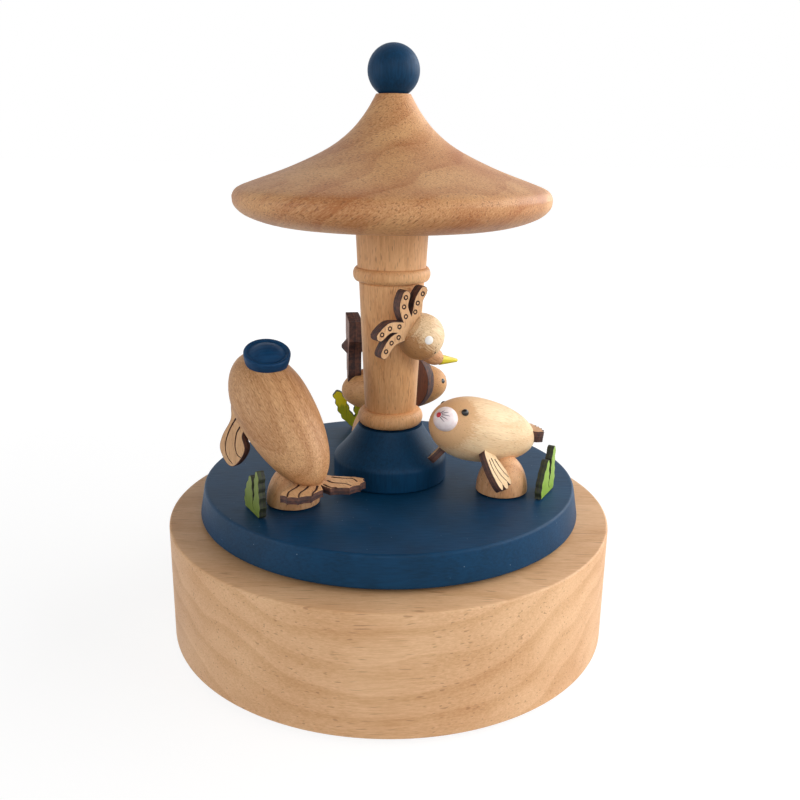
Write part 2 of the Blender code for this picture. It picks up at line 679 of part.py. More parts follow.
def build_winding(carousel, steel, brass):
    """The arbor from the movement up into the turntable's nut, with the crown wheel at its foot."""
    top_of_housing = -BED_THICKNESS - GAP
    wheel_top = top_of_housing - HOUSING_HEIGHT - GAP
    wheel_low = wheel_top - CROWN_THICKNESS
    turntable_low = -TURNTABLE_THICKNESS
    bed_in_carousel = -(TURNTABLE_THICKNESS + TURNTABLE_LIFT + DRUM_TOP_WALL + GAP)
    arbor_low = bed_in_carousel + wheel_low - GAP
    arbor_high = turntable_low + NUT_DEPTH
    piece("winding_arbor", rod(ARBOR_RADIUS, arbor_low, arbor_high, 16), steel, carousel)

    steps = 2 * CROWN_TEETH
    band_inner = CROWN_RADIUS - CROWN_BAND
    profile = [
        (ARBOR_RADIUS + GAP, 0.0),
        (band_inner, 0.0),
        (CROWN_RADIUS, 0.0),
        (CROWN_RADIUS, CROWN_THICKNESS),
        (ARBOR_RADIUS + GAP, CROWN_THICKNESS),
    ]
    mesh = turned(profile, steps)
    shape = bmesh.new()
    shape.from_mesh(mesh)
    teeth = []
    for face in shape.faces:
        middle = face.calc_center_median()
        sector = round(math.atan2(middle.y, middle.x) / (math.pi / CROWN_TEETH) - 0.5)
        on_band = abs(middle.z) < WELD and math.hypot(middle.x, middle.y) > band_inner
        if on_band and sector % 2 == 0:
            teeth.append(face)
    height = (TOOTH_ABOVE + TOOTH_BELOW) * crown_module()
    grown = bmesh.ops.extrude_discrete_faces(shape, faces=teeth)
    for face in grown["faces"]:
        middle = face.calc_center_median()
        side = Vector((-middle.y, middle.x, 0)).normalized()
        for corner in face.verts:
            offset = side * side.dot(corner.co - middle)
            corner.co -= offset * (1 - TOOTH_TIP_SHARE / TOOTH_ROOT_SHARE)
            corner.co.z -= height
    wheel_mesh = mesh_from(shape)
    place = (0, 0, bed_in_carousel + wheel_low)
    quarter_pitch = -math.pi / CROWN_TEETH / 2
    piece("drive_gear", wheel_mesh, brass, carousel, place, (0, 0, quarter_pitch))

    ring = tube(ARBOR_RADIUS + GAP, WASHER_RADIUS, 0.0, TURNTABLE_LIFT - 2 * GAP, 24)
    piece("washer", ring, brass, carousel, (0, 0, turntable_low - TURNTABLE_LIFT + GAP))
    nut_profile = [
        (ARBOR_RADIUS + GAP, 0.0),
        (NUT_FLANGE_RADIUS, 0.0),
        (NUT_FLANGE_RADIUS, NUT_FLANGE_THICKNESS),
        (NUT_RADIUS, NUT_FLANGE_THICKNESS),
        (NUT_RADIUS, NUT_DEPTH),
        (ARBOR_RADIUS + GAP, NUT_DEPTH),
    ]
    piece("turntable_nut", turned(nut_profile, 24), steel, carousel, (0, 0, turntable_low))


def build_turntable(carousel, blue):
    low = -TURNTABLE_THICKNESS
    round_off = TURNTABLE_ROUND
    profile = [
        (0.0, low + NUT_DEPTH + GAP),
        (NUT_RADIUS + GAP, low + NUT_DEPTH + GAP),
        (NUT_RADIUS + GAP, low + NUT_FLANGE_THICKNESS + GAP),
        (NUT_FLANGE_RADIUS + GAP, low + NUT_FLANGE_THICKNESS + GAP),
        (NUT_FLANGE_RADIUS + GAP, low),
        (TURNTABLE_SIDE_RADIUS - round_off, low),
        (TURNTABLE_SIDE_RADIUS - round_off * 0.3, low + round_off * 0.3),
        (TURNTABLE_SIDE_RADIUS, low + round_off),
    ]
    shoulder = TURNTABLE_TOP_RADIUS + round_off * 0.9
    profile += [
        (shoulder, -round_off * 0.9),
        (shoulder - round_off * 0.3, -round_off * 0.3),
        (TURNTABLE_TOP_RADIUS, 0.0),
        (0.0, 0.0),
    ]
    piece("turntable", turned(profile, TURNTABLE_STEPS), blue, carousel)


def column_foot():
    return CONE_HEIGHT + 2 * GAP


def shaft_top():
    """Height at which the column's tapered shaft ends, under the bead."""
    return column_foot() + COLUMN_HEIGHT - BEAD_FALL - BEAD_HEIGHT


def build_column(carousel, beech, blue):
    """Centre cone, column with its collar and bead, roof, ball and the dowel that pins the ball."""
    bore = TENON_RADIUS + GAP
    flare = []
    for share in (0.1, 0.35, 0.65):
        radius = CONE_RADIUS + (CONE_TOP_RADIUS - CONE_RADIUS) * share
        height = CONE_BAND_HEIGHT + (CONE_HEIGHT - CONE_BAND_HEIGHT) * share
        flare.append((radius - CONE_HOLLOW * math.sin(math.pi * share), height))
    cone_profile = [(bore, 0.0), (CONE_RADIUS - GAP, 0.0), (CONE_RADIUS, GAP)]
    cone_profile += [(CONE_RADIUS, CONE_BAND_HEIGHT - 2 * GAP)]
    cone_profile += flare + [(CONE_TOP_RADIUS, CONE_HEIGHT), (bore, CONE_HEIGHT)]
    piece("centre_cone", turned(cone_profile, CONE_STEPS), blue, carousel, (0, 0, GAP))

    foot = column_foot()
    top = foot + COLUMN_HEIGHT
    bead_low = shaft_top()
    bead_top = bead_low + BEAD_HEIGHT
    profile = [(0.0, GAP), (TENON_RADIUS, GAP), (TENON_RADIUS, foot)]
    for step in range(5):
        angle = math.pi * (step / 4 - 0.5)
        bulge = COLLAR_RADIUS - COLLAR_HEIGHT / 2 * (1 - math.cos(angle)) * 0.7
        profile.append((bulge, foot + COLLAR_HEIGHT * (1 + math.sin(angle)) / 2))
    profile.append((COLUMN_FOOT_RADIUS, foot + COLLAR_HEIGHT))
    profile.append((COLUMN_NECK_RADIUS, bead_low))
    for step in range(5):
        angle = math.pi * (step / 4 - 0.5)
        bulge = COLUMN_NECK_RADIUS + (BEAD_RADIUS - COLUMN_NECK_RADIUS) * (0.3 + 0.7 * math.cos(angle))
        profile.append((bulge, bead_low + BEAD_HEIGHT * (1 + math.sin(angle)) / 2))
    shelf = top - GAP
    profile += [
        ((COLUMN_NECK_RADIUS + COLUMN_TOP_RADIUS) / 2, bead_top),
        (COLUMN_TOP_RADIUS, shelf),
        (ROOF_TENON_RADIUS, shelf),
        (ROOF_TENON_RADIUS, shelf + ROOF_TENON_HEIGHT),
        (0.0, shelf + ROOF_TENON_HEIGHT),
    ]
    piece("column", turned(profile, COLUMN_STEPS), beech, carousel)

    ball_height = ROOF_HEIGHT + BALL_RADIUS - BALL_SINK
    socket_radius = BALL_RADIUS + GAP
    seat = []
    for share in (0.6, 0.8, 1.0):
        drop = BALL_SINK + GAP
        radius = math.sqrt(socket_radius**2 - (socket_radius - drop) ** 2) * share
        seat.append((radius, ball_height - math.sqrt(socket_radius**2 - radius**2)))
    seat_floor = ball_height - BALL_RADIUS - GAP
    hole = DOWEL_RADIUS + GAP
    dowel_low = seat_floor - DOWEL_LENGTH / 2
    rim = ROOF_RIM_HEIGHT
    rise = ROOF_HEIGHT - rim
    width = ROOF_RADIUS - ROOF_CROWN_RADIUS
    under = [(0.45, 0.04), (0.74, 0.16), (0.91, 0.42), (0.985, 0.72)]
    bell = [(0.985, 0.06), (0.935, 0.12), (0.86, 0.165), (0.62, 0.285), (0.42, 0.41)]
    bell += [(0.28, 0.525), (0.16, 0.67), (0.07, 0.83)]
    profile = [
        (0.0, ROOF_TENON_HEIGHT),
        (ROOF_TENON_RADIUS + GAP, ROOF_TENON_HEIGHT),
        (ROOF_TENON_RADIUS + GAP, 0.0),
        (COLUMN_TOP_RADIUS + GAP, 0.0),
    ]
    profile += [(ROOF_RADIUS * across, rim * up) for across, up in under]
    profile.append((ROOF_RADIUS, rim))
    profile += [(ROOF_CROWN_RADIUS + width * across, rim + rise * up) for across, up in bell]
    profile.append((ROOF_CROWN_RADIUS, ROOF_HEIGHT))
    profile += reversed(seat)
    profile += [(hole, seat_floor), (hole, dowel_low - GAP), (0.0, dowel_low - GAP)]
    piece("roof", turned(profile, ROOF_STEPS), beech, carousel, (0, 0, top))

    dowel = rod(DOWEL_RADIUS, dowel_low, dowel_low + DOWEL_LENGTH, 12)
    piece("finial_dowel", dowel, beech, carousel, (0, 0, top))
    socket = dowel_low + DOWEL_LENGTH + GAP - ball_height
    ball_profile = [(0.0, socket), (hole, socket)]
    opening = math.asin(hole / BALL_RADIUS)
    rings = 12
    for ring in range(rings + 1):
        angle = opening + (math.pi - opening) * ring / rings
        ball_profile.append((BALL_RADIUS * math.sin(angle), -BALL_RADIUS * math.cos(angle)))
    ball_profile[-1] = (0.0, BALL_RADIUS)
    piece("ball_finial", turned(ball_profile, BALL_STEPS), blue, carousel, (0, 0, top + ball_height))


def heading(azimuth, climb):
    """Unit vector from degrees of azimuth and of climb above the horizon."""
    around = math.radians(azimuth)
    up = math.radians(climb)
    return Vector((math.cos(up) * math.cos(around), math.cos(up) * math.sin(around), math.sin(up)))


def turn_to(way):
    return Vector(way).to_track_quat("Z", "Y").to_euler()


def stand_profile(grow=0.0):
    """A half egg; grow makes it larger all round."""
    rings = 7
    profile = [(0.0, GAP - grow)]
    for ring in range(rings + 1):
        angle = math.pi / 2 * ring / rings
        height = (STAND_HEIGHT + grow) * math.sin(angle) - grow * (ring == 0)
        profile.append(((STAND_RADIUS + grow) * math.cos(angle), GAP + height))
    profile[-1] = (0.0, GAP + STAND_HEIGHT + grow)
    return profile


def build_stand(name, frame, material):
    """A turned half egg that the animal's body is let into."""
    return piece(name, turned(stand_profile(), FIGURE_STEPS), material, frame)


def build_body(name, egg, frame, material, location, way, start=0.0):
    """An egg body, and a slightly larger copy of it that cuts whatever is glued to it."""
    mesh = turned(egg.profile(start=start), FIGURE_STEPS)
    body = piece(name, mesh, material, frame, location, turn_to(way))
    room = tool(name + "_room", turned(egg.profile(GAP, start=start), FIGURE_STEPS), body)
    return body, room


def bead(name, radius, egg, seat_angles, body, material):
    """A ball let into an egg body, at a seat given in degrees along and around it."""
    along, around = (math.radians(angle) for angle in seat_angles)
    place, turn = egg.seat(along, around)
    ball = Egg(radius, radius, radius)
    return piece(name, turned(ball.profile(rings=8), 16), material, body, place, turn)


def beside(way, sign, side, ahead, rise):
    """A point in millimetres to an animal's left (sign 1) or right (sign -1), ahead and above."""
    flat = Vector((way.x, way.y, 0)).normalized()
    left = Vector((-flat.y, flat.x, 0))
    return left * sign * side + flat * ahead + Vector((0, 0, rise))


def flipper_outline(points, sign):
    """An outline in millimetres whose Y runs from the root to the tip; sign -1 mirrors it."""
    return [(x * sign * MM, y * MM) for x, y in points]


def tail_outline(side, tips, bulge):
    """Two flukes, mirror images: the side from the root to the hip, then round fingers between the
    tips, of which the last one is the notch on the plate's middle line."""
    right = [(x * MM, y * MM) for x, y in side]
    corners = [(x * MM, y * MM) for x, y in tips]
    for start, end in zip(corners[:-1], corners[1:-1]):
        right += scallops(start, end, 1, bulge, 3)[:-1]
    right += corners[-2:]
    left = [(-x, y) for x, y in reversed(right[:-1])]
    return right + left


def build_large_seal(carousel, beech, birch, blue, white):
    angle = STAND_FIRST_ANGLE - STAND_ANGLE_STEP
    frame = empty("large_seal_frame", carousel, around_axis(STAND_CIRCLE, angle))
    stand = build_stand("seal_large_stand", frame, beech)
    egg = Egg(9.67 * MM, 24.6 * MM, 15.7 * MM)
    way = heading(135, 43.4)
    middle = Vector((-5.0, 3.4, 24.7)) * MM
    body, room = build_body("seal_large_body", egg, frame, beech, middle, way)
    cap_profile = [(0, -3.6), (3.7, -3.6), (4.9, -0.2), (5.7, 2.0), (5.8, 2.8), (5.4, 3.1)]
    cap_profile += [(4.6, 2.8), (3.5, 3.3), (2.0, 3.8), (0, 4.0)]
    cap_mesh = turned([(radius * MM, height * MM) for radius, height in cap_profile], FIGURE_STEPS)
    place = Vector((-6.4, 4.3, 36.3)) * MM
    cap = piece("seal_large_cap", cap_mesh, blue, frame, place, turn_to((0.10, -0.24, 0.965)))
    muzzle = bead("seal_large_muzzle", MUZZLE_RADIUS, egg, (152, -115), body, white)
    points = [(-2.4, -2.4), (1.2, -1.6), (1.8, 2.8), (5.5, 8.0), (6.8, 11.9), (4.4, 15.2)]
    points += [(1.4, 15.5), (-2.0, 12.4), (-3.5, 9.4), (-2.6, 6.4), (-4.6, 2.4)]
    for name, sign in (("left", 1), ("right", -1)):
        outline = smooth_loop(flipper_outline(points, sign), 2)
        place = middle + beside(way, sign, 6.9, 5.6, -0.8) * MM
        facing = beside(way, sign, 1.0, -0.05, 0.0)
        fin = plate(outline, PLY)
        flipper = piece(f"seal_large_flipper_{name}", fin, birch, frame, place, attitude((0, 0, -1), facing))
        cut(flipper, room)
    side = [(3.4, -9.5), (4.6, -5.2), (7.3, -2.8), (10.0, -0.8)]
    tips = [(11.4, 1.1), (10.6, 3.2), (8.4, 4.6), (5.1, 5.1), (1.0, 3.0), (0.0, -0.2)]
    turn = attitude((0.51, -0.86, 0.0), (0.0, 0.0, 1.0))
    place = (7.9 * MM, -8.8 * MM, 8.1 * MM - PLY / 2)
    outline = tail_outline(side, tips, 0.25 * MM)
    tail = piece("seal_large_tail", plate(outline, PLY), birch, frame, place, turn)
    for target in (stand, cap, muzzle, tail):
        cut(target, room)
    cut(stand, tool("large_tail_room", plate(outline, PLY + 2 * GAP), frame, place, turn))


def build_small_seal(carousel, beech, birch, white, black):
    frame = empty("small_seal_frame", carousel, around_axis(STAND_CIRCLE, STAND_FIRST_ANGLE))
    stand = build_stand("seal_small_stand", frame, beech)
    stand_room = tool("small_stand_room", turned(stand_profile(GAP), FIGURE_STEPS), frame)
    egg = Egg(8.36 * MM, 20.8 * MM, 13.3 * MM)
    way = heading(212, 17.6)
    middle = Vector((-8.1, -0.3, 17.2)) * MM
    body, room = build_body("seal_small_body", egg, frame, beech, middle, way)
    muzzle = bead("seal_small_muzzle", MUZZLE_RADIUS, egg, (156, 30), body, white)
    eyes = []
    for name, around in (("left", 43), ("right", 137)):
        eyes.append(bead(f"seal_small_eye_{name}", EYE_RADIUS, egg, (128, around), body, black))
    points = [(1.6, -2.3), (3.4, 1.6), (3.9, 4.4), (3.6, 7.0), (2.6, 8.3), (-0.2, 8.5)]
    points += [(-2.8, 8.2), (-4.3, 7.4), (-4.5, 5.6), (-3.4, 2.2), (-1.8, -2.3)]
    ways = [
        ("left", 1, 1.0, (7.5, 0.6, -5.9), (0.48, -0.28, -0.84), (0.69, -0.44, 0.54)),
        ("right", -1, 0.6, (2.1, 4.4, -2.1), (0.29, 0.65, -0.7), (-0.53, -0.47, -0.7)),
    ]
    for name, sign, slim, spot, length_way, facing in ways:
        outline = smooth_loop(flipper_outline(points, sign * slim), 2)
        turn = attitude(beside(way, sign, *length_way), beside(way, sign, *facing))
        place = middle + beside(way, sign, *spot) * MM
        flipper = piece(f"seal_small_flipper_{name}", plate(outline, PLY), birch, frame, place, turn)
        cut(flipper, room)
        cut(flipper, stand_room)
    side = [(2.2, -7.0), (2.8, -2.0), (4.4, 1.0)]
    tips = [(4.6, 3.0), (3.4, 3.9), (2.0, 4.4), (0.6, 4.6), (0.0, 3.4)]
    place = middle - way * 18.2 * MM + Vector((0, 0, 1.7 * MM))
    turn = attitude((0.85, 0.52, -0.1), (0.1, 0.0, 1.0))
    outline = tail_outline(side, tips, 0.25 * MM)
    tail = piece("seal_small_tail", plate(outline, THICK_PLY), birch, frame, place, turn)
    for target in (stand, muzzle, tail, *eyes):
        cut(target, room)


def build_whale(carousel, beech, dark_birch):
    angle = STAND_FIRST_ANGLE + STAND_ANGLE_STEP
    frame = empty("whale_frame", carousel, around_axis(STAND_CIRCLE, angle))
    stand = build_stand("whale_stand", frame, beech)
    egg = Egg(7.4 * MM, 17.1 * MM, 15.9 * MM, 0.85)
    way = heading(-14.7, 9.8)
    middle = Vector((6.7, -1.1, 16.9)) * MM
    body, room = build_body("whale_body", egg, frame, beech, middle, way)
    cut(stand, room)
    points = [(-1.0, -7.2), (-4.0, -3.6), (-4.4, 0.8), (-3.2, 4.2), (-0.2, 7.3), (3.0, 5.4)]
    points += [(4.4, 1.0), (3.4, -4.0)]
    for name, sign, ahead, rise in (("right", -1, 8.9, 4.0), ("left", 1, 4.5, -1.0)):
        outline = smooth_loop(flipper_outline(points, -sign), 2)
        place = middle + beside(way, sign, 7.6, ahead, rise) * MM
        facing = beside(way, sign, 0.93, -0.38, 0.0)
        turn = attitude((0, 0, -1), facing)
        fin = piece(f"whale_flipper_{name}", plate(outline, THICK_PLY), dark_birch, frame, place, turn)
        cut(fin, room)
    side = [(2.0, -3.4), (2.6, -0.8), (4.0, -0.4), (4.4, 6.0), (7.5, 10.5)]
    tips = [(7.6, 15.6), (5.4, 16.4), (3.2, 16.8), (1.0, 16.8), (0.0, 15.4)]
    place = (-6.1 * MM, 1.4 * MM, 21.2 * MM)
    turn = attitude((0.0, 0.0, 1.0), (1.0, 0.12, 0.0))
    outline = tail_outline(side, tips, 0.25 * MM)
    tail = piece("whale_tail", plate(outline, TAIL_BLOCK), dark_birch, frame, place, turn)
    knob_profile = [(0.0, -3.2), (2.15, -1.8), (2.15, 1.8), (0.0, 3.2)]
    knob = turned([(radius * MM, height * MM) for radius, height in knob_profile], 12)
    join(tail, tool("tail_knob", knob, tail, (0, 7.6 * MM, 0)))
    cut(tail, room)


def arm_outline(points, root_half, tip_half):
    """A strip along a centre line of points in millimetres, with a round end at the last one."""
    line = [Vector(point) * MM for point in points]
    right = []
    left = []
    for index, spot in enumerate(line):
        before = line[max(index - 1, 0)]
        after = line[min(index + 1, len(line) - 1)]
        way = (after - before).normalized()
        half = root_half + (tip_half - root_half) * index / (len(line) - 1)
        side = Vector((way.y, -way.x)) * half
        right.append(tuple(spot + side))
        left.append(tuple(spot - side))
    for turn in (math.radians(50), math.radians(130)):
        right.append(tuple(line[-1] + side * math.cos(turn) + way * half * math.sin(turn)))
    return right + list(reversed(left))


def build_octopus(carousel, beech, birch, yellow):
    """The octopus lies in an upright plane in front of the column: X along it, Y up, Z outwards."""
    rotation = attitude((0, 0, 1), (0.545, -0.839, 0.0))
    frame = empty("octopus_frame", carousel, (7.7 * MM, -8.5 * MM, 0), rotation)
    egg = Egg(5.3 * MM, 6.4 * MM, 4.9 * MM)
    way = Vector((0.77, -0.636, 0.0))
    head_middle = Vector((0.9, 41.1, 0.0)) * MM
    flat_start = math.acos(5.0 / 6.4)
    head, room = build_body("octopus_head", egg, frame, beech, head_middle, way, flat_start)
    low = column_foot() + COLLAR_HEIGHT
    high = shaft_top()
    shaft = [(0.0, low), (COLUMN_FOOT_RADIUS + GAP, low), (COLUMN_NECK_RADIUS + GAP, high), (0.0, high)]
    cut(head, tool("column_room", turned(shaft, COLUMN_STEPS), carousel))

    trunk = [(-2.0, 45.3), (-5.8, 40.8), (-7.2, 42.4), (-5.6, 45.6), (-3.4, 46.6)]
    arms = piece("octopus_arms", plate([(x * MM, y * MM) for x, y in trunk], THICK_PLY), birch, frame)
    lines = [
        ((-3.1, 45.0), (-2.4, 48.2), (-1.9, 50.8), (-0.5, 53.0)),
        ((-4.4, 44.6), (-6.0, 47.8), (-6.4, 49.9), (-5.7, 52.3)),
        ((-5.0, 43.9), (-9.4, 44.6), (-11.3, 44.1), (-13.2, 42.6)),
        ((-5.4, 42.4), (-9.0, 41.4), (-10.7, 39.9), (-12.0, 38.0)),
    ]
    for number, line in enumerate(lines):
        strip = plate(arm_outline(line, 1.5 * MM, 1.25 * MM), THICK_PLY)
        join(arms, tool(f"arm_{number + 1}", strip, frame))
    cut(arms, room)
    snout_egg = Egg(1.9 * MM, 4.5 * MM, 3.9 * MM)
    place = Vector((3.3, 36.0, 0.0)) * MM
    snout, snout_room = build_body("octopus_mouth", snout_egg, frame, beech, place, (0.87, -0.5, 0))
    cut(snout, room)
    cone = turned([(0.0, 0.0), (1.45 * MM, 0.0), (0.5 * MM, 5.6 * MM), (0.0, 6.0 * MM)], 16)
    tip = piece("octopus_mouth_tip", cone, yellow, frame, (5.6 * MM, 34.1 * MM, 0), turn_to((1, 0, 0)))
    cut(tip, snout_room)


def build_weeds(carousel, green):
    """Seaweed plates that stand on the turntable and face outwards, a little turned."""
    shares = [(-0.49, 0.0), (-0.5, 0.13), (-0.48, 0.28), (-0.365, 0.48), (-0.21, 0.67), (-0.08, 0.785)]
    shares += [(0.02, 0.755), (0.04, 0.54), (0.085, 0.31), (0.135, 0.345), (0.165, 0.525)]
    shares += [(0.19, 0.755), (0.3, 0.965), (0.405, 1.0), (0.475, 0.9), (0.46, 0.66), (0.49, 0.41)]
    shares += [(0.5, 0.2), (0.42, 0.0)]
    outline = [(x * WEED_WIDTH, y * WEED_HEIGHT) for x, y in shares]
    for name, degrees in (("right", -18.1), ("left", 219.5), ("back", 106.0)):
        angle = math.radians(degrees)
        facing = around_axis(1, angle + WEED_TURN)
        place = around_axis(WEED_CIRCLE, angle, GAP)
        piece(f"seaweed_{name}", plate(outline, PLY), green, carousel, place, attitude((0, 0, 1), facing))


def main():
    clear_scene()
    beech = finish("Oiled beech", 0.72, 0.49, 0.30, 0.55)
    birch = finish("Laser cut birch plywood", 0.76, 0.55, 0.35, 0.6)
    dark_birch = finish("Dark stained plywood", 0.10, 0.045, 0.025, 0.6)
    blue = finish("Blue stain", 0.012, 0.07, 0.19, 0.45)
    white = finish("White paint", 0.86, 0.79, 0.79, 0.5)
    black = finish("Black bead", 0.005, 0.005, 0.005, 0.2)
    yellow = finish("Yellow paint", 0.58, 0.46, 0.02, 0.5)
    green = finish("Green stained plywood", 0.35, 0.55, 0.08, 0.6)
    felt = finish("Felt", 0.04, 0.04, 0.045, 0.95)
    brass = finish("Brass", 0.80, 0.58, 0.25, 0.35, 1.0)
    steel = finish("Steel", 0.55, 0.55, 0.56, 0.35, 1.0)

    root = empty("box", None, (0, 0, 0))
    drum_frame, drum = build_drum(root, beech, birch, felt, steel)
    bed_height = DRUM_HEIGHT - DRUM_TOP_WALL - GAP
    movement = empty("movement", drum_frame, (0, 0, bed_height))
    bed = build_bedplate(movement, drum, brass, steel)
    build_spring(movement, steel, steel)
    build_comb(movement, bed, steel, brass)
    build_cylinder(movement, brass, steel)
    build_governor(movement, brass, steel)

    top = PAD_THICKNESS + GAP + DRUM_HEIGHT + TURNTABLE_LIFT + TURNTABLE_THICKNESS
    carousel = empty("carousel_pivot", root, (0, 0, top))
    build_winding(carousel, steel, brass)
    build_turntable(carousel, blue)
    build_column(carousel, beech, blue)
    build_large_seal(carousel, beech, birch, blue, white)
    build_small_seal(carousel, beech, birch, white, black)
    build_whale(carousel, beech, dark_birch)
    build_octopus(carousel, beech, birch, yellow)
    build_weeds(carousel, green)


main()
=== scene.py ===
"""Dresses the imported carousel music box: turned beech, painted wood and laser-cut plywood.

The CAD solids are the frame. Each visible piece is rebuilt here with fine round surfaces, broken
edges, burnt cuts and engraved lines, and rides on the CAD body that it belongs to. Sizes are in
millimetres; finished meshes and places are in metres.
"""

import logging
import math
from dataclasses import dataclass
from enum import Enum
from typing import Any, Iterable, Sequence

import bmesh
import bpy
from mathutils import Matrix, Vector


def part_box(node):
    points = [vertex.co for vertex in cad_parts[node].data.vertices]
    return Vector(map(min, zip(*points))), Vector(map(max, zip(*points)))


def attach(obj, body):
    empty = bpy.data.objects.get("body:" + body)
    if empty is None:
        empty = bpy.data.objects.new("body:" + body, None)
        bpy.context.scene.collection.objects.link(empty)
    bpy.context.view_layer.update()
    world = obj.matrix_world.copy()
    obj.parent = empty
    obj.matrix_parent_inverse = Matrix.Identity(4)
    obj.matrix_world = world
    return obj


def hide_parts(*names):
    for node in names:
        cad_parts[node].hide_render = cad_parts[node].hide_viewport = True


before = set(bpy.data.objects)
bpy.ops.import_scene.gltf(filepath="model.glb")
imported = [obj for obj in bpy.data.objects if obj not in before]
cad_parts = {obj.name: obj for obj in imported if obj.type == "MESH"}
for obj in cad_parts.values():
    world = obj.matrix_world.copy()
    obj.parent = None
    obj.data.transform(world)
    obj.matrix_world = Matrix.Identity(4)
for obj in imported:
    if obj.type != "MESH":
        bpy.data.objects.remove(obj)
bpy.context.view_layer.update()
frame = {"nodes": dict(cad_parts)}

LOG = logging.getLogger("music_box")
MM = 0.001
SHARP = math.radians(35)  # edges that turn more than this stay crisp
Point = tuple[float, float]
Spot = tuple[float, float, float]
Mesh = bpy.types.Mesh
Node = bpy.types.Node
Tree = bpy.types.NodeTree

# Settings that many shader nodes share
RGBA = {"data_type": "RGBA"}
SMOOTH = {"interpolation_type": "SMOOTHSTEP"}
MULTIPLY = {"operation": "MULTIPLY"}
MULTIPLY_ADD = {"operation": "MULTIPLY_ADD"}
DIVIDE = {"operation": "DIVIDE"}
LENGTH = {"operation": "LENGTH"}
ONE_WAY = {"noise_dimensions": "1D"}


class Grain(Enum):
    """Which of a piece's own axes its fibres follow: the turn that lays that axis along X."""

    X = (0.0, 0.0, 0.0)
    Y = (0.0, 0.0, -math.pi / 2)
    Z = (0.0, math.pi / 2, 0.0)


class Body(Enum):
    """The CAD bodies that pieces ride on."""

    BASE = "base"
    CAROUSEL = "carousel"


def linear(code: str) -> tuple[float, float, float, float]:
    """Turns an sRGB hex colour into Blender's linear colour.

    Args:
        code: the colour as #rrggbb.

    Returns:
        Linear red, green, blue and an alpha of 1.
    """
    channels = []
    for start in (1, 3, 5):
        share = int(code[start:start + 2], 16) / 255
        channels.append(share / 12.92 if share <= 0.04045 else ((share + 0.055) / 1.055) ** 2.4)
    return (channels[0], channels[1], channels[2], 1.0)


def add(tree: Tree, kind: str, settings: dict[str, Any], links: dict[Any, Any]) -> Node:
    """Adds one shader node with its settings and links.

    Args:
        tree: the node tree.
        kind: the node's type, without its ShaderNode prefix.
        settings: the node's own properties by name.
        links: by input name or number, a node or socket to link from or a value to set.

    Returns:
        The new node.
    """
    made = tree.nodes.new("ShaderNode" + kind)
    for name, value in settings.items():
        setattr(made, name, value)
    for key, value in links.items():
        source = value.outputs[0] if isinstance(value, bpy.types.Node) else value
        if isinstance(source, bpy.types.NodeSocket):
            tree.links.new(source, made.inputs[key])
        else:
            made.inputs[key].default_value = source
    return made


def showing(tree: Tree) -> Node:
    """Picks the rays that show the white background, in gloss and through glass too.

    Args:
        tree: the node tree.

    Returns:
        The node that gives 1 for those rays.
    """
    rays = add(tree, "LightPath", {}, {}).outputs
    mirrored = add(tree, "Math", {}, {0: rays["Is Glossy Ray"], 1: rays["Is Transmission Ray"]})
    return add(tree, "Math", {"use_clamp": True}, {0: rays["Is Camera Ray"], 1: mirrored})


def new_material(name: str) -> tuple[bpy.types.Material, Tree, Node]:
    """Makes a material with a bare Principled shader.

    Args:
        name: the material's name.

    Returns:
        The material, its node tree and its shader node.
    """
    material = bpy.data.materials.new(name)
    material.use_nodes = True
    tree = material.node_tree
    tree.nodes.clear()
    shader = add(tree, "BsdfPrincipled", {}, {})
    add(tree, "OutputMaterial", {}, {"Surface": shader})
    return material, tree, shader


def own_mm(tree: Tree, turn: Sequence[float] = (0.0, 0.0, 0.0), offset: Spot = (0.0, 0.0, 0.0),
           steps: Spot = (1.0, 1.0, 1.0)) -> Node:
    """A piece's own coordinates in millimetres, so that patterns keep their real scale.

    Args:
        tree: the node tree.
        turn: lays the fibres along X.
        offset: where in the log the piece was cut from, in millimetres.
        steps: pattern steps in a millimetre.

    Returns:
        The node that gives the coordinates.
    """
    place = add(tree, "TexCoord", {}, {}).outputs["Object"]
    scale = tuple(step / MM for step in steps)
    return add(tree, "Mapping", {}, {
        "Vector": place, "Scale": scale, "Rotation": turn, "Location": offset})


def streaks(tree: Tree, blank: Node, steps: Spot, detail: float, rough: float = 0.5) -> Node:
    """Noise that is stretched along the fibres: long streaks, short flecks or broad clouds.

    Args:
        tree: the node tree.
        blank: the piece's own coordinates in millimetres.
        steps: noise steps in a millimetre, along the fibres and twice across them.
        detail: how many finer layers it has.
        rough: how strong those are.

    Returns:
        The noise node.
    """
    scaled = add(tree, "VectorMath", MULTIPLY, {0: blank, 1: steps})
    return add(tree, "TexNoise", {}, {
        "Vector": scaled, "Scale": 1.0, "Detail": detail, "Roughness": rough})


def coat(tree: Tree, shader: Node, colour: Any, gloss: Node, rough: Point, height: Node,
         strength: float, relief_mm: float) -> None:
    """Joins a finish's patterns to the shader's colour, roughness and bump.

    Args:
        tree: the node tree.
        shader: its Principled shader.
        colour: the socket of the colour.
        gloss: the pattern that the roughness follows.
        rough: the roughness where that pattern is 0 and where it is 1.
        height: the pattern that stands up from the surface.
        strength: how much of it shows.
        relief_mm: how high it stands, in millimetres.
    """
    dull = add(tree, "MapRange", {}, {"Value": gloss, "To Min": rough[0], "To Max": rough[1]})
    bump = add(tree, "Bump", {}, {"Strength": strength, "Distance": relief_mm * MM, "Height": height})
    tree.links.new(colour, shader.inputs["Base Color"])
    tree.links.new(dull.outputs[0], shader.inputs["Roughness"])
    tree.links.new(bump.outputs[0], shader.inputs["Normal"])


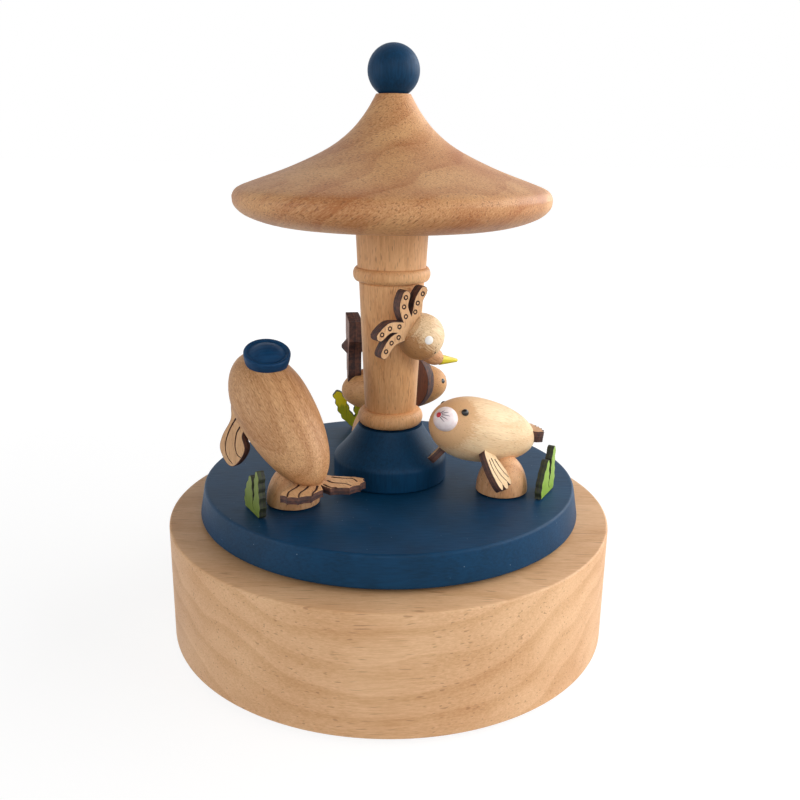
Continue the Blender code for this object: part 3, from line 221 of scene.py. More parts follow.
@dataclass(frozen=True)
class Beech:
    """Turned beech, sanded and oiled: soft growth bands, fine fibres and short dark ray flecks.

    The pattern is solid, so a turned surface cuts through it as a lathe cuts the blank: arches where
    the face is flat sawn, fine parallel lines on a flat top, and dots where the fibres end. A shade
    is a change of tone that starts somewhere along one of the piece's own directions: real darker
    wood from the heart of the log on the small seal, painted shade on the lower side of the octopus
    head, and painted light, a yellow upper part, on the back seaweed. Oil leaves a soft sheen, duller
    in the open pores. Real fibres are far too fine to show here, so they are drawn about 0.4 mm wide,
    and the pores with them. Plywood faces are the same wood in thin sheets.
    """

    name: str
    light: str
    dark: str
    fleck: str
    grain: Grain = Grain.X
    slot: str = "beech"
    ring_mm: float = 5.0
    pith_mm: Point = (22.0, -95.0)
    offset_mm: Spot = (0.0, 0.0, 0.0)
    tilt: Spot = (0.0, 0.0, 0.0)
    wander: Spot = (0.011, 0.03, 0.03)
    wander_mm: float = 26.0
    late_rise: Point = (0.25, 0.92)
    late_fall: Point = (1.0, 0.94)
    uneven: float = 0.55
    bands: float = 0.45
    fibre: Spot = (0.13, 2.7, 2.7)
    fibres: float = 0.3
    fine: Spot = (0.8, 5.0, 5.0)
    grit: float = 0.16
    flecks: float = 0.5
    fleck_start: float = 0.66
    fleck_blur: float = 0.1
    fleck_length_mm: float = 1.8
    fleck_width_mm: float = 0.26
    cloud: Spot = (0.03, 0.07, 0.07)
    patches: float = 0.35
    shade: float = 0.0
    shade_way: Spot = (0.0, 0.0, 1.0)
    shade_mm: Point = (0.0, 1.0)
    ragged_mm: float = 4.0
    roughness: float = 0.5
    shine: float = 0.35

    def material(self) -> bpy.types.Material:
        """Builds the material.

        Returns:
            The beech material.
        """
        material, tree, shader = new_material(self.name)
        shader.inputs["Specular IOR Level"].default_value = self.shine
        turn = [along + extra for along, extra in zip(self.grain.value, self.tilt)]
        blank = own_mm(tree, turn, self.offset_mm)
        band = self.growth_bands(tree, blank)
        streak = streaks(tree, blank, self.fibre, 3.0, 0.6)
        fibre = add(tree, "MapRange", {}, {"Value": streak, "From Min": 0.3, "From Max": 0.7})
        fine = streaks(tree, blank, self.fine, 2.0)
        grit = add(tree, "MapRange", {}, {"Value": fine, "From Min": 0.35, "From Max": 0.65})
        across = 1 / self.fleck_width_mm
        ray = streaks(tree, blank, (1 / self.fleck_length_mm, across, across), 0.0)
        fleck = add(tree, "MapRange", SMOOTH, {
            "Value": ray, "From Min": self.fleck_start, "From Max": self.fleck_start + self.fleck_blur})
        cloud = streaks(tree, blank, self.cloud, 2.0)
        patch = add(tree, "MapRange", {}, {"Value": cloud, "From Min": 0.35, "From Max": 0.7})

        tone = add(tree, "Math", MULTIPLY, {0: band, 1: self.bands})
        for share, weight in ((fibre, self.fibres), (grit, self.grit), (patch, self.patches)):
            tone = add(tree, "Math", MULTIPLY_ADD, {0: share, 1: weight, 2: tone})
        if self.shade > 0:
            tone = add(tree, "Math", {}, {0: self.heartwood_and_painted_light(tree, streak), 1: tone})
        wood = add(tree, "Mix", RGBA, {0: tone, 6: linear(self.light), 7: linear(self.dark)}).outputs[2]
        mark = add(tree, "Math", MULTIPLY, {0: fleck, 1: self.flecks})
        colour = add(tree, "Mix", RGBA, {0: mark, 6: wood, 7: linear(self.fleck)}).outputs[2]
        pores = add(tree, "Math", {"operation": "SUBTRACT"}, {0: streak, 1: fleck})
        rough = (self.roughness - 0.09, self.roughness + 0.09)
        coat(tree, shader, colour, streak, rough, pores, 0.5, 0.07)
        return material

    def growth_bands(self, tree: Tree, blank: Node) -> Node:
        """Rings about a wandering pith, each darker towards its late wood.

        Args:
            tree: the node tree.
            blank: the piece's own coordinates.

        Returns:
            The node that gives how dark a band is.
        """
        wander = streaks(tree, blank, self.wander, 2.0).outputs["Color"]
        sway = add(tree, "VectorMath", MULTIPLY_ADD, {
            0: wander, 1: (0, self.wander_mm, self.wander_mm), 2: blank})
        flat = add(tree, "VectorMath", MULTIPLY_ADD, {
            0: sway, 1: (0, 1, 1), 2: (0, -self.pith_mm[0], -self.pith_mm[1])})
        reach = add(tree, "VectorMath", LENGTH, {0: flat}).outputs["Value"]
        rings = add(tree, "Math", DIVIDE, {0: reach, 1: self.ring_mm})
        saw = add(tree, "Math", {"operation": "FRACT"}, {0: rings})
        rise, fall = (add(tree, "MapRange", SMOOTH, {"Value": saw, "From Min": low, "From Max": high})
                      for low, high in (self.late_rise, self.late_fall))
        late = add(tree, "Math", MULTIPLY, {0: rise, 1: fall})
        uneven = add(tree, "TexNoise", ONE_WAY, {"W": rings, "Scale": 1.7, "Detail": 3.0})
        return add(tree, "Mix", {}, {0: self.uneven, 2: late, 3: uneven})

    def heartwood_and_painted_light(self, tree: Tree, streak: Node) -> Node:
        """A tone that starts raggedly somewhere along the shade's way: real darker wood on some pieces,
        painted shade and painted light on others.

        Args:
            tree: the node tree.
            streak: the fibres that make its border ragged.

        Returns:
            The node that gives how dark it is.
        """
        place = add(tree, "TexCoord", {}, {}).outputs["Object"]
        reach = add(tree, "VectorMath", {"operation": "DOT_PRODUCT"}, {
            0: place, 1: Vector(self.shade_way).normalized() / MM}).outputs["Value"]
        ragged = add(tree, "Math", MULTIPLY_ADD, {0: streak, 1: self.ragged_mm, 2: reach})
        start, end = (edge + self.ragged_mm / 2 for edge in self.shade_mm)
        return add(tree, "MapRange", SMOOTH, {
            "Value": ragged, "From Min": start, "From Max": end, "To Max": self.shade})


@dataclass(frozen=True)
class Paint:
    """Water-based colour brushed over sanded wood: a satin film with the fibres showing through.

    The fibres are drawn coarser than real ones, so that they show. The specks are dust on the film.
    """

    name: str
    colour: str
    deep: str
    grain: Grain = Grain.X
    slot: str = "blue_wood"
    roughness: float = 0.4
    fibre_mm: float = 0.45
    relief: float = 0.5
    shine: float = 0.5
    specks: float = 0.0
    speck_colour: str = "#8fa6bd"
    speck_edge: Point = (0.045, 0.03)

    def material(self) -> bpy.types.Material:
        """Builds the material.

        Returns:
            The paint material.
        """
        material, tree, shader = new_material(self.name)
        shader.inputs["Specular IOR Level"].default_value = self.shine
        blank = own_mm(tree, self.grain.value)
        fine = 1 / self.fibre_mm
        fibre = streaks(tree, blank, (0.09 * fine, fine, fine), 3.0, 0.6)
        cloud = add(tree, "TexNoise", {}, {"Vector": blank, "Scale": 0.08, "Detail": 3.0})
        blend = add(tree, "Mix", {}, {0: 0.5, 2: fibre, 3: cloud})
        depth = add(tree, "MapRange", {}, {"Value": blend, "From Min": 0.35, "From Max": 0.65})
        film = add(tree, "Mix", RGBA, {0: depth, 6: linear(self.colour), 7: linear(self.deep)}).outputs[2]
        dust = add(tree, "TexVoronoi", {}, {"Vector": blank, "Scale": 0.35, "Randomness": 1.0})
        speck = add(tree, "MapRange", {}, {
            "Value": dust.outputs["Distance"], "From Min": self.speck_edge[0],
            "From Max": self.speck_edge[1], "To Min": 0.0, "To Max": self.specks})
        colour = add(tree, "Mix", RGBA, {0: speck, 6: film, 7: linear(self.speck_colour)}).outputs[2]
        rough = (self.roughness - 0.08, self.roughness + 0.1)
        coat(tree, shader, colour, fibre, rough, fibre, self.relief, 0.05)
        return material


@dataclass(frozen=True)
class BurntEdge:
    """The cut edge of plywood from a laser: charred brown, with the plies as faint bands."""

    name: str
    char: str
    brown: str
    ply_mm: float = 0.6

    def material(self) -> bpy.types.Material:
        """Builds the material.

        Returns:
            The burnt edge material.
        """
        material, tree, shader = new_material(self.name)
        size = own_mm(tree)
        axes = add(tree, "SeparateXYZ", {}, {0: size})
        ply = add(tree, "Math", DIVIDE, {0: axes.outputs["Z"], 1: self.ply_mm})
        layer = add(tree, "TexNoise", ONE_WAY, {"W": ply, "Scale": 1.0})
        soot = add(tree, "TexNoise", {}, {"Vector": size, "Scale": 0.9, "Detail": 4.0})
        blend = add(tree, "Mix", {}, {0: 0.6, 2: layer, 3: soot})
        share = add(tree, "MapRange", {}, {"Value": blend, "From Min": 0.42, "From Max": 0.68})
        colour = add(tree, "Mix", RGBA, {0: share, 6: linear(self.char), 7: linear(self.brown)})
        coat(tree, shader, colour.outputs[2], soot, (0.55, 0.8), soot, 0.4, 0.05)
        return material


@dataclass(frozen=True)
class Enamel:
    """A smooth brushed coat with no grain, such as a white snout or a bead eye.

    Its brush marks are clouds of about 1.5 mm, coarser than real ones, so that they show.
    """

    name: str
    colour: str
    shade: str
    roughness: float = 0.45
    slot: str = "white_wood"

    def material(self) -> bpy.types.Material:
        """Builds the material.

        Returns:
            The enamel material.
        """
        material, tree, shader = new_material(self.name)
        brushed = add(tree, "TexNoise", {}, {"Vector": own_mm(tree), "Scale": 0.7, "Detail": 4.0})
        share = add(tree, "MapRange", {}, {"Value": brushed, "From Min": 0.35, "From Max": 0.7})
        colour = add(tree, "Mix", RGBA, {0: share, 6: linear(self.colour), 7: linear(self.shade)})
        rough = (self.roughness - 0.05, self.roughness + 0.08)
        coat(tree, shader, colour.outputs[2], brushed, rough, brushed, 0.15, 0.05)
        return material


@dataclass(frozen=True)
class Metal:
    """Machined metal with fine tool marks: brass plates and wheels, or bare spring steel.

    Real marks are some hundredths of a millimetre wide, so they are drawn coarser, to show.
    """

    name: str
    colour: str
    shade: str
    roughness: float = 0.3
    mark_mm: float = 0.25

    def material(self) -> bpy.types.Material:
        """Builds the material.

        Returns:
            The metal material.
        """
        material, tree, shader = new_material(self.name)
        shader.inputs["Metallic"].default_value = 1.0
        fine = 1 / self.mark_mm
        size = own_mm(tree, steps=(0.06 * fine, fine, fine))
        marks = add(tree, "TexNoise", {}, {"Vector": size, "Scale": 1.0, "Detail": 2.0})
        colour = add(tree, "Mix", RGBA, {0: marks, 6: linear(self.colour), 7: linear(self.shade)})
        rough = (self.roughness - 0.1, self.roughness + 0.1)
        coat(tree, shader, colour.outputs[2], marks, rough, marks, 0.1, 0.02)
        return material


@dataclass(frozen=True)
class Felt:
    """Pressed wool felt: dull and fuzzy, with a cloudy mix of dark fibres, drawn coarse to show."""

    name: str
    colour: str
    shade: str
    slot: str = "felt"
    roughness: float = 0.95
    sheen: float = 0.3

    def material(self) -> bpy.types.Material:
        """Builds the material.

        Returns:
            The felt material.
        """
        material, tree, shader = new_material(self.name)
        fuzz = add(tree, "TexNoise", {}, {"Vector": own_mm(tree), "Scale": 3.0, "Detail": 5.0})
        colour = add(tree, "Mix", RGBA, {0: fuzz, 6: linear(self.colour), 7: linear(self.shade)})
        tree.links.new(colour.outputs[2], shader.inputs["Base Color"])
        shader.inputs["Roughness"].default_value = self.roughness
        shader.inputs["Sheen Weight"].default_value = self.sheen
        bump = add(tree, "Bump", {}, {"Strength": 0.7, "Distance": 0.1 * MM, "Height": fuzz})
        tree.links.new(bump.outputs[0], shader.inputs["Normal"])
        return material


class Workshop:
    """Makes each finish once and hands out its material."""

    def __init__(self) -> None:
        """Starts with no materials made."""
        self.made: dict[str, bpy.types.Material] = {}

    def get(self, finish: Any) -> bpy.types.Material:
        """Gives a finish's material, made the first time it is asked for.

        Args:
            finish: any of the finish classes.

        Returns:
            The material.
        """
        if finish.name not in self.made:
            self.made[finish.name] = finish.material()
        return self.made[finish.name]


# Turned from one pale log: long rust-brown flecks on the drum's flat sawn wall
DRUM_BEECH = Beech("beech turned oiled drum", "#f5cca0", "#cb9767", "#9c6841", ring_mm=7.5,
                   pith_mm=(45.0, -120.0), tilt=(0.0, 0.05, 0.03), bands=0.42, fibres=0.36,
                   fleck_start=0.705, fleck_length_mm=6.0, fleck_width_mm=0.45)
# A redder blank cut across, which shows broad flame bands with many short pores
ROOF_BEECH = Beech("beech turned oiled roof", "#edbe88", "#ab6c3e", "#784728", ring_mm=8.0,
                   pith_mm=(-14.0, 60.0), offset_mm=(31.0, 7.0, -90.0), tilt=(0.3, 0.45, 0.6),
                   bands=0.42, grit=0.32, fleck_start=0.64, fleck_length_mm=0.9,
                   fleck_width_mm=0.4, patches=0.4)
# Spindle work along the grain: straight upright fibres
COLUMN_BEECH = Beech("beech turned oiled column", "#f6c792", "#c48a56", "#84522f", Grain.Z, ring_mm=3.5,
                     pith_mm=(24.0, 18.0), bands=0.3, fibres=0.4, flecks=0.45, fleck_length_mm=2.2,
                     patches=0.3)
# The figures are turned along the grain too, each from a blank of its own tone; the octopus head
# and mouth also carry painted shade
SEAL_BEECH = Beech("beech turned oiled large seal", "#e4b685", "#a97549", "#784c2c", Grain.Z,
                   ring_mm=4.0, pith_mm=(19.0, -21.0), offset_mm=(11.0, 5.0, 2.0), fibres=0.35,
                   grit=0.4, fleck_length_mm=1.1, patches=0.2)
PALE_BEECH = Beech("beech turned oiled small seal", "#ffe8bf", "#dcaf80", "#a87a50", Grain.Z,
                   ring_mm=4.5, pith_mm=(-16.0, 20.0), offset_mm=(-7.0, 13.0, 9.0), flecks=0.3,
                   shade=1.0, shade_way=(0.3, 0.25, 0.9), shade_mm=(6.5, 11.5))
WHALE_BEECH = Beech("beech turned oiled whale", "#e8b880", "#b67f4d", "#7d4f2c", Grain.Z, ring_mm=3.5,
                    pith_mm=(17.0, 11.0), offset_mm=(3.0, -5.0, 29.0))
# Painted shade: the head darkens towards its lower side, away from the lamps
OCTOPUS_BEECH = Beech("beech turned oiled octopus", "#ffe7bd", "#b08052", "#7d5130", Grain.Z,
                      ring_mm=3.0, pith_mm=(12.0, -9.0), offset_mm=(13.0, 3.0, 5.0), bands=0.2,
                      patches=0.2, shade=0.75, shade_way=(0.0, -1.0, 0.0), shade_mm=(0.2, 4.2))
# Partly painted shade: a darker copy of the octopus beech for the shade under the head; its brown streaks
# are the wood's own
MOUTH_BEECH_PAINTED_SHADE = Beech("beech turned mouth with painted shade", "#e3b182", "#9f6c43", "#6c442a", Grain.Z, ring_mm=2.0,
                    pith_mm=(6.0, -5.0))
STAND_BEECH = Beech("beech turned oiled stands", "#f4c697", "#c58b5c", "#7b4d31", Grain.Z, ring_mm=3.0,
                    pith_mm=(-14.0, 9.0))

# Plywood faces: birch, bare or stained, with straight fibres along the plate.
# Two copies of the green stain carry painted shade and painted light.
VENEER = {"grain": Grain.Y, "ring_mm": 3.0, "pith_mm": (7.0, -60.0)}
PLYWOOD = Beech("birch plywood laser-cut face", "#ebc394", "#bd8b5f", "#85563a", **VENEER,
                slot="birch_plywood", fleck_length_mm=1.4, fleck_width_mm=0.2)
PALE_PLYWOOD = Beech("birch plywood laser-cut pale face", "#f8e0b6", "#d8b184", "#8a5a3a", **VENEER,
                     slot="birch_plywood", flecks=0.3, fleck_length_mm=1.4)
DARK_PLYWOOD = Beech("plywood dark stained face", "#8a5236", "#54301f", "#2f1b14", **VENEER,
                     slot="dark_plywood")
GREEN_PLYWOOD = Beech("plywood green stained face", "#a5c74c", "#779831", "#5d7d22", **VENEER,
                      slot="green_plywood", flecks=0.3)
# Painted shade: a darker copy of the green stain for the weed that faces away from the lamps
PAINTED_SHADE_PLYWOOD = Beech("plywood green face with painted shade", "#8fa13e", "#576727", "#4d5a22", **VENEER,
                      slot="green_plywood", flecks=0.3)
# Painted light: the green stain turns yellow towards the top, where the lamp behind lights the back weed
PAINTED_LIGHT_PLYWOOD = Beech("plywood green face with painted yellow light", "#7f9a22", "#e9dd24", "#6d7d1e", **VENEER,
                     slot="green_plywood", flecks=0.3, bands=0.1, patches=0.1, shade=1.0,
                     shade_way=(0.0, 1.0, 0.0), shade_mm=(6.5, 8.0))
COVER_PLY = Beech("birch plywood cover", "#e4c08f", "#c89b69", "#8f623c", Grain.X, ring_mm=9.0,
                  pith_mm=(15.0, -40.0), flecks=0.4)
# What a laser leaves on every cut and engraved line: a matt dark rim, green-black on stained wood
BURNT = BurntEdge("plywood burnt cut edge", "#2c1a1a", "#6b4334")
BLACK_GREEN = BurntEdge("plywood burnt cut edge green", "#15180f", "#39401f")

# Paint on turned beech: navy with a dull satin sheen, dusty on the flat disc
DISC_BLUE = Paint("beech painted navy disc", "#083d61", "#042d48", roughness=0.47, shine=0.16,
                  specks=0.6)
TURNED_BLUE = Paint("beech painted navy turned", "#073c60", "#042b46", Grain.Z, roughness=0.5,
                    shine=0.15)
CAP_BLUE = Paint("beech painted navy cap", "#0d4068", "#082e4e", roughness=0.5, fibre_mm=0.8,
                 relief=0.9, shine=0.15)
TIP_YELLOW = Paint("beech painted yellow", "#d6c81d", "#bfae14", Grain.Z, "yellow_wood",
                   roughness=0.45, relief=0.3)

# Small painted or lacquered marks: smooth and plain beside the wood, and the bead eyes glint
SNOUT_WHITE = Enamel("beech painted white snout", "#f4eaea", "#e4d3d4", 0.4)
EYE_WHITE = Enamel("white paint dot", "#f7f5f2", "#e9e4de", 0.4)
NOSE_RED = Enamel("red paint dot", "#c3202e", "#a81826", 0.35)
WHISKER_GREY = Enamel("grey paint line", "#7d6c74", "#5f5058", 0.6)
BEAD_BLACK = Enamel("black lacquered bead", "#0b0b0c", "#141416", 0.14, "black_bead")
INK_DARK = Enamel("dark brown burnt dot", "#2a1a18", "#1d1110", 0.7, "black_bead")

# The movement's warm brass and cool grey steel, and the soft dark felt under the drum
BRASS = Metal("brass machined", "#d9b566", "#b98f45")
STEEL = Metal("spring steel bare", "#b9bbbf", "#8d9096", 0.28)
ZINC = Metal("steel zinc plated", "#c9cbd0", "#a9acb2", 0.35)
WOOL = Felt("felt pressed wool", "#3a3a3f", "#232327")


def linked(name: str, data: Any) -> bpy.types.Object:
    """Adds an object to the scene.

    Args:
        name: the object's name.
        data: its mesh, curve, lamp or camera.

    Returns:
        The object.
    """
    made = bpy.data.objects.new(name, data)
    bpy.context.scene.collection.objects.link(made)
    return made


def evaluated(item: bpy.types.Object) -> Mesh:
    """Takes an object's mesh with its modifiers or its bevel applied.

    Args:
        item: the object.

    Returns:
        A new mesh.
    """
    bpy.context.view_layer.update()
    return bpy.data.meshes.new_from_object(item.evaluated_get(bpy.context.evaluated_depsgraph_get()))


def finished(shape: bmesh.types.BMesh) -> Mesh:
    """Turns a bmesh in millimetres into a smooth shaded mesh in metres.

    Args:
        shape: the bmesh, which is freed.

    Returns:
        The mesh.
    """
    bmesh.ops.recalc_face_normals(shape, faces=shape.faces)
    bmesh.ops.scale(shape, vec=(MM, MM, MM), verts=shape.verts)
    mesh = bpy.data.meshes.new("piece")
    shape.to_mesh(mesh)
    shape.free()
    mesh.shade_smooth()
    mesh.set_sharp_from_angle(angle=SHARP)
    return mesh


def rounded(corners: Sequence[Spot], steps: int = 5) -> list[Point]:
    """Rounds the corners of a profile.

    Args:
        corners: radius, height and rounding of each corner, in millimetres.
        steps: pieces in each rounding.

    Returns:
        The points of the rounded profile.
    """
    most = 0.49  # of a side, so that two roundings never meet
    points: list[Point] = []
    for index, (x, y, reach) in enumerate(corners):
        here = Vector((x, y))
        if reach <= 0 or index in (0, len(corners) - 1):
            points.append((x, y))
            continue
        before = Vector(corners[index - 1][:2]) - here
        after = Vector(corners[index + 1][:2]) - here
        start = here + before.normalized() * min(reach, before.length * most)
        end = here + after.normalized() * min(reach, after.length * most)
        for step in range(steps + 1):
            t = step / steps
            spot = start * (1 - t) ** 2 + here * 2 * t * (1 - t) + end * t * t
            points.append((spot.x, spot.y))
    return points


def through(points: Sequence[Sequence[float]], steps: int, closed: bool = False) -> list[Point]:
    """A smooth curve through points.

    Args:
        points: the points, in millimetres.
        steps: pieces between two neighbours.
        closed: whether the last point runs on into the first.

    Returns:
        The points of the curve.
    """
    count = len(points)
    curve: list[Point] = []
    for index in range(count if closed else count - 1):
        picks = [index + k for k in (-1, 0, 1, 2)]
        if closed:
            picks = [k % count for k in picks]
        else:
            picks = [min(max(k, 0), count - 1) for k in picks]
        before, start, end, after = (Vector(points[k]) for k in picks)
        for step in range(steps):
            t = step / steps
            straight = (end - before) * t
            square = (2 * before - 5 * start + 4 * end - after) * t * t
            cubic = (3 * start - before - 3 * end + after) * t**3
            curve.append(tuple(start + (straight + square + cubic) / 2))
    if not closed:
        curve.append(tuple(points[-1]))
    return curve


def mirrored(points: Iterable[Point], sign: float) -> list[Point]:
    """Points with their first number times a sign, or times a signed share."""
    return [(x * sign, y) for x, y in points]


def bead(inner: float, outer: float, low: float, height: float) -> list[Point]:
    """The profile of a turned bead.

    Args:
        inner: its radius at its lower and upper edge.
        outer: its radius at its middle.
        low: where it starts.
        height: how high it is.

    Returns:
        Its points, going up.
    """
    steps = 16
    points = []
    for step in range(steps + 1):
        angle = math.pi * (step / steps - 0.5)
        radius = inner + (outer - inner) * math.cos(angle)
        points.append((radius, low + height * (1 + math.sin(angle)) / 2))
    return points


def lathe(profile: Sequence[Point], segments: int = 160) -> Mesh:
    """Turns a profile about Z.

    Args:
        profile: radius and height points in millimetres; off the axis they make a closed loop.
        segments: steps of the turn.

    Returns:
        The turned mesh.
    """
    weld = 0.0005
    shape = bmesh.new()
    points = [shape.verts.new((radius, 0.0, height)) for radius, height in profile]
    edges = [shape.edges.new(pair) for pair in zip(points, points[1:])]
    if profile[0][0] > 0:
        edges.append(shape.edges.new((points[-1], points[0])))
    bmesh.ops.spin(shape, geom=points + edges, axis=(0, 0, 1), cent=(0, 0, 0),
                   angle=2 * math.pi, steps=segments)
    bmesh.ops.remove_doubles(shape, verts=shape.verts, dist=weld)
    return finished(shape)


def plate(outline: Sequence[Point], thickness: float, broken: float = 0.16,
          height: float = 0.0) -> Mesh:
    """A cut plate with broken edges: faces in the first slot, the burnt rim in the second.

    Args:
        outline: the outline in XY, in millimetres.
        thickness: the plate's thickness, half above and half below.
        broken: how far its edges are broken.
        height: how high the middle of the plate lies.

    Returns:
        The plate's mesh.
    """
    shape = bmesh.new()
    face = shape.faces.new([shape.verts.new((x, y, height - thickness / 2)) for x, y in outline])
    grown = bmesh.ops.extrude_face_region(shape, geom=[face])
    top = [item for item in grown["geom"] if isinstance(item, bmesh.types.BMVert)]
    bmesh.ops.translate(shape, verts=top, vec=(0, 0, thickness))
    shape.normal_update()
    for side in shape.faces:
        side.material_index = int(abs(side.normal.z) < 0.5)
    if broken > 0:
        rims = [edge for edge in shape.edges if abs(edge.verts[0].co.z - edge.verts[1].co.z) < 1e-6]
        bmesh.ops.bevel(shape, geom=rims, offset=broken, segments=2, profile=0.6, affect="EDGES",
                        clamp_overlap=True, material=1)
    return finished(shape)


def ribbon(line: Sequence[Point], start: float, end: float) -> list[Point]:
    """The outline of a strip along a line, with round ends.

    Args:
        line: the middle line, in millimetres.
        start: half the strip's width where it starts.
        end: half its width where it ends.

    Returns:
        The outline.
    """
    right: list[Point] = []
    left: list[Point] = []
    last = len(line) - 1
    for index, spot in enumerate(line):
        here = Vector(spot)
        way = (Vector(line[min(index + 1, last)]) - Vector(line[max(index - 1, 0)])).normalized()
        half = start + (end - start) * index / last
        side = Vector((way.y, -way.x)) * half
        right.append(tuple(here + side))
        left.append(tuple(here - side))
        if index == 0:
            tail = [tuple(here + side * math.cos(math.pi * t) - way * half * math.sin(math.pi * t))
                    for t in (0.75, 0.5, 0.25)]
        if index == last:
            tip = [tuple(here + side * math.cos(math.pi * t) + way * half * math.sin(math.pi * t))
                   for t in (0.2, 0.4, 0.6, 0.8)]
    return tail + right + tip + list(reversed(left))


def stroke(line: Sequence[Vector], radius: float, thinning: float = 0.6) -> Mesh:
    """A painted stroke that thins out: a fine tube along a line.

    Args:
        line: points in millimetres.
        radius: the stroke's half width where it starts.
        thinning: the share of its width that it loses.

    Returns:
        The stroke's mesh.
    """
    curve = bpy.data.curves.new("stroke", "CURVE")
    curve.dimensions = "3D"
    curve.bevel_depth = radius * MM
    curve.bevel_resolution = 2
    curve.use_fill_caps = True
    spline = curve.splines.new("POLY")
    spline.points.add(len(line) - 1)
    for index, (point, spot) in enumerate(zip(spline.points, line)):
        point.co = (*(spot * MM), 1.0)
        point.radius = 1 - thinning * index / (len(line) - 1)
    holder = linked("stroke", curve)
    mesh = evaluated(holder)
    bpy.data.objects.remove(holder)
    bpy.data.curves.remove(curve)
    return mesh


def merged(meshes: Iterable[Mesh]) -> Mesh:
    """Puts several meshes into one.

    Args:
        meshes: the meshes, which are used up.

    Returns:
        The new mesh.
    """
    shape = bmesh.new()
    for mesh in meshes:
        shape.from_mesh(mesh)
        bpy.data.meshes.remove(mesh)
    whole = bpy.data.meshes.new("merged")
    shape.to_mesh(whole)
    shape.free()
    whole.shade_smooth()
    return whole


def carved(target: bpy.types.Object, cutter: Mesh, edge: bpy.types.Material,
           operation: str = "DIFFERENCE") -> None:
    """Cuts a mesh into an object, or joins it, for good.

    Args:
        target: the object that is changed.
        cutter: the mesh in the target's own axes, which is used up.
        edge: the material of the cut.
        operation: DIFFERENCE or UNION.
    """
    tool = linked("cutter", cutter)
    tool.matrix_world = target.matrix_world
    if not cutter.materials:
        cutter.materials.append(edge)
    modifier = target.modifiers.new("cut", "BOOLEAN")
    modifier.operation = operation
    modifier.object = tool
    modifier.solver = "EXACT"
    modifier.material_mode = "TRANSFER"
    result = evaluated(target)
    result.name = target.data.name
    target.modifiers.clear()
    target.data = result
    result.shade_smooth()
    result.set_sharp_from_angle(angle=SHARP)
    bpy.data.objects.remove(tool)


def grooves(lines: Iterable[Sequence[Point]], top: float, wide: float, depth: float = 0.3) -> Mesh:
    """Cutters for lines engraved by the laser, each with a drop shaped start.

    Args:
        lines: middle lines in a plate's axes, in millimetres.
        top: height of the engraved face.
        wide: half the width of a line where it starts.
        depth: how deep the lines are burnt in.

    Returns:
        The cutters as one mesh.
    """
    narrowing = 0.55
    return merged([plate(ribbon(through(line, 5), wide, wide * narrowing), 2 * depth, 0.0, top)
                   for line in lines])


def attitude(length_way: Sequence[float], face_way: Sequence[float]) -> Matrix:
    """The turn that runs a plate's Y along one way and faces its Z towards another.

    Args:
        length_way: where the plate's Y goes.
        face_way: where its Z looks, as near as it can.

    Returns:
        The turn as a 4 by 4 matrix.
    """
    along = Vector(length_way).normalized()
    across = along.cross(Vector(face_way)).normalized()
    return Matrix((across, along, across.cross(along))).transposed().to_4x4()


def pointing(way: Sequence[float]) -> Matrix:
    """The turn that points a turned piece's Z along a way."""
    return Vector(way).to_track_quat("Z", "Y").to_matrix().to_4x4()


def moved(spot: Sequence[float]) -> Matrix:
    """The shift to a place given in millimetres."""
    return Matrix.Translation(Vector(spot) * MM)


def heading(azimuth: float, climb: float) -> Vector:
    """A unit vector from degrees of azimuth and of climb above the horizon."""
    around, up = math.radians(azimuth), math.radians(climb)
    return Vector((math.cos(up) * math.cos(around), math.cos(up) * math.sin(around), math.sin(up)))


@dataclass
class Assembly:
    """A sub-assembly, which puts its pieces into the scene on their CAD bodies."""

    workshop: Workshop
    top_mm: float

    def put(self, name: str, mesh: Mesh, finishes: Sequence[Any], matrix: Matrix, *nodes: str,
            body: Body = Body.CAROUSEL) -> bpy.types.Object:
        """Adds a piece that stands for CAD nodes.

        Args:
            name: the piece's name.
            mesh: its mesh, in metres.
            finishes: the finish of each material slot.
            matrix: its place in the row's frame.
            nodes: the CAD nodes that it replaces.
            body: the CAD body that it rides on.

        Returns:
            The piece.
        """
        piece = linked(name, mesh)
        mesh.name = name
        for finish in finishes:
            mesh.materials.append(self.workshop.get(finish))
        piece.matrix_world = matrix
        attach(piece, body.value)
        if nodes:
            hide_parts(*nodes)
        LOG.info("%s: %d faces", name, len(mesh.polygons))
        return piece

    def engrave(self, piece: bpy.types.Object, lines: Iterable[Sequence[Point]], ply: float,
                wide: float, edge: BurntEdge = BURNT) -> None:
        """Burns lines into a plate's upper face.

        Args:
            piece: the plate.
            lines: their middle lines in the plate's axes.
            ply: the plate's thickness.
            wide: half the width of a line where it starts.
            edge: the finish of the burnt wood.
        """
        carved(piece, grooves(lines, ply / 2, wide), self.workshop.get(edge))

    def on_top(self, spot: Sequence[float] = (0.0, 0.0, 0.0)) -> Matrix:
        """The shift to a place measured from the middle of the turntable's top, in millimetres."""
        return moved((spot[0], spot[1], spot[2] + self.top_mm))


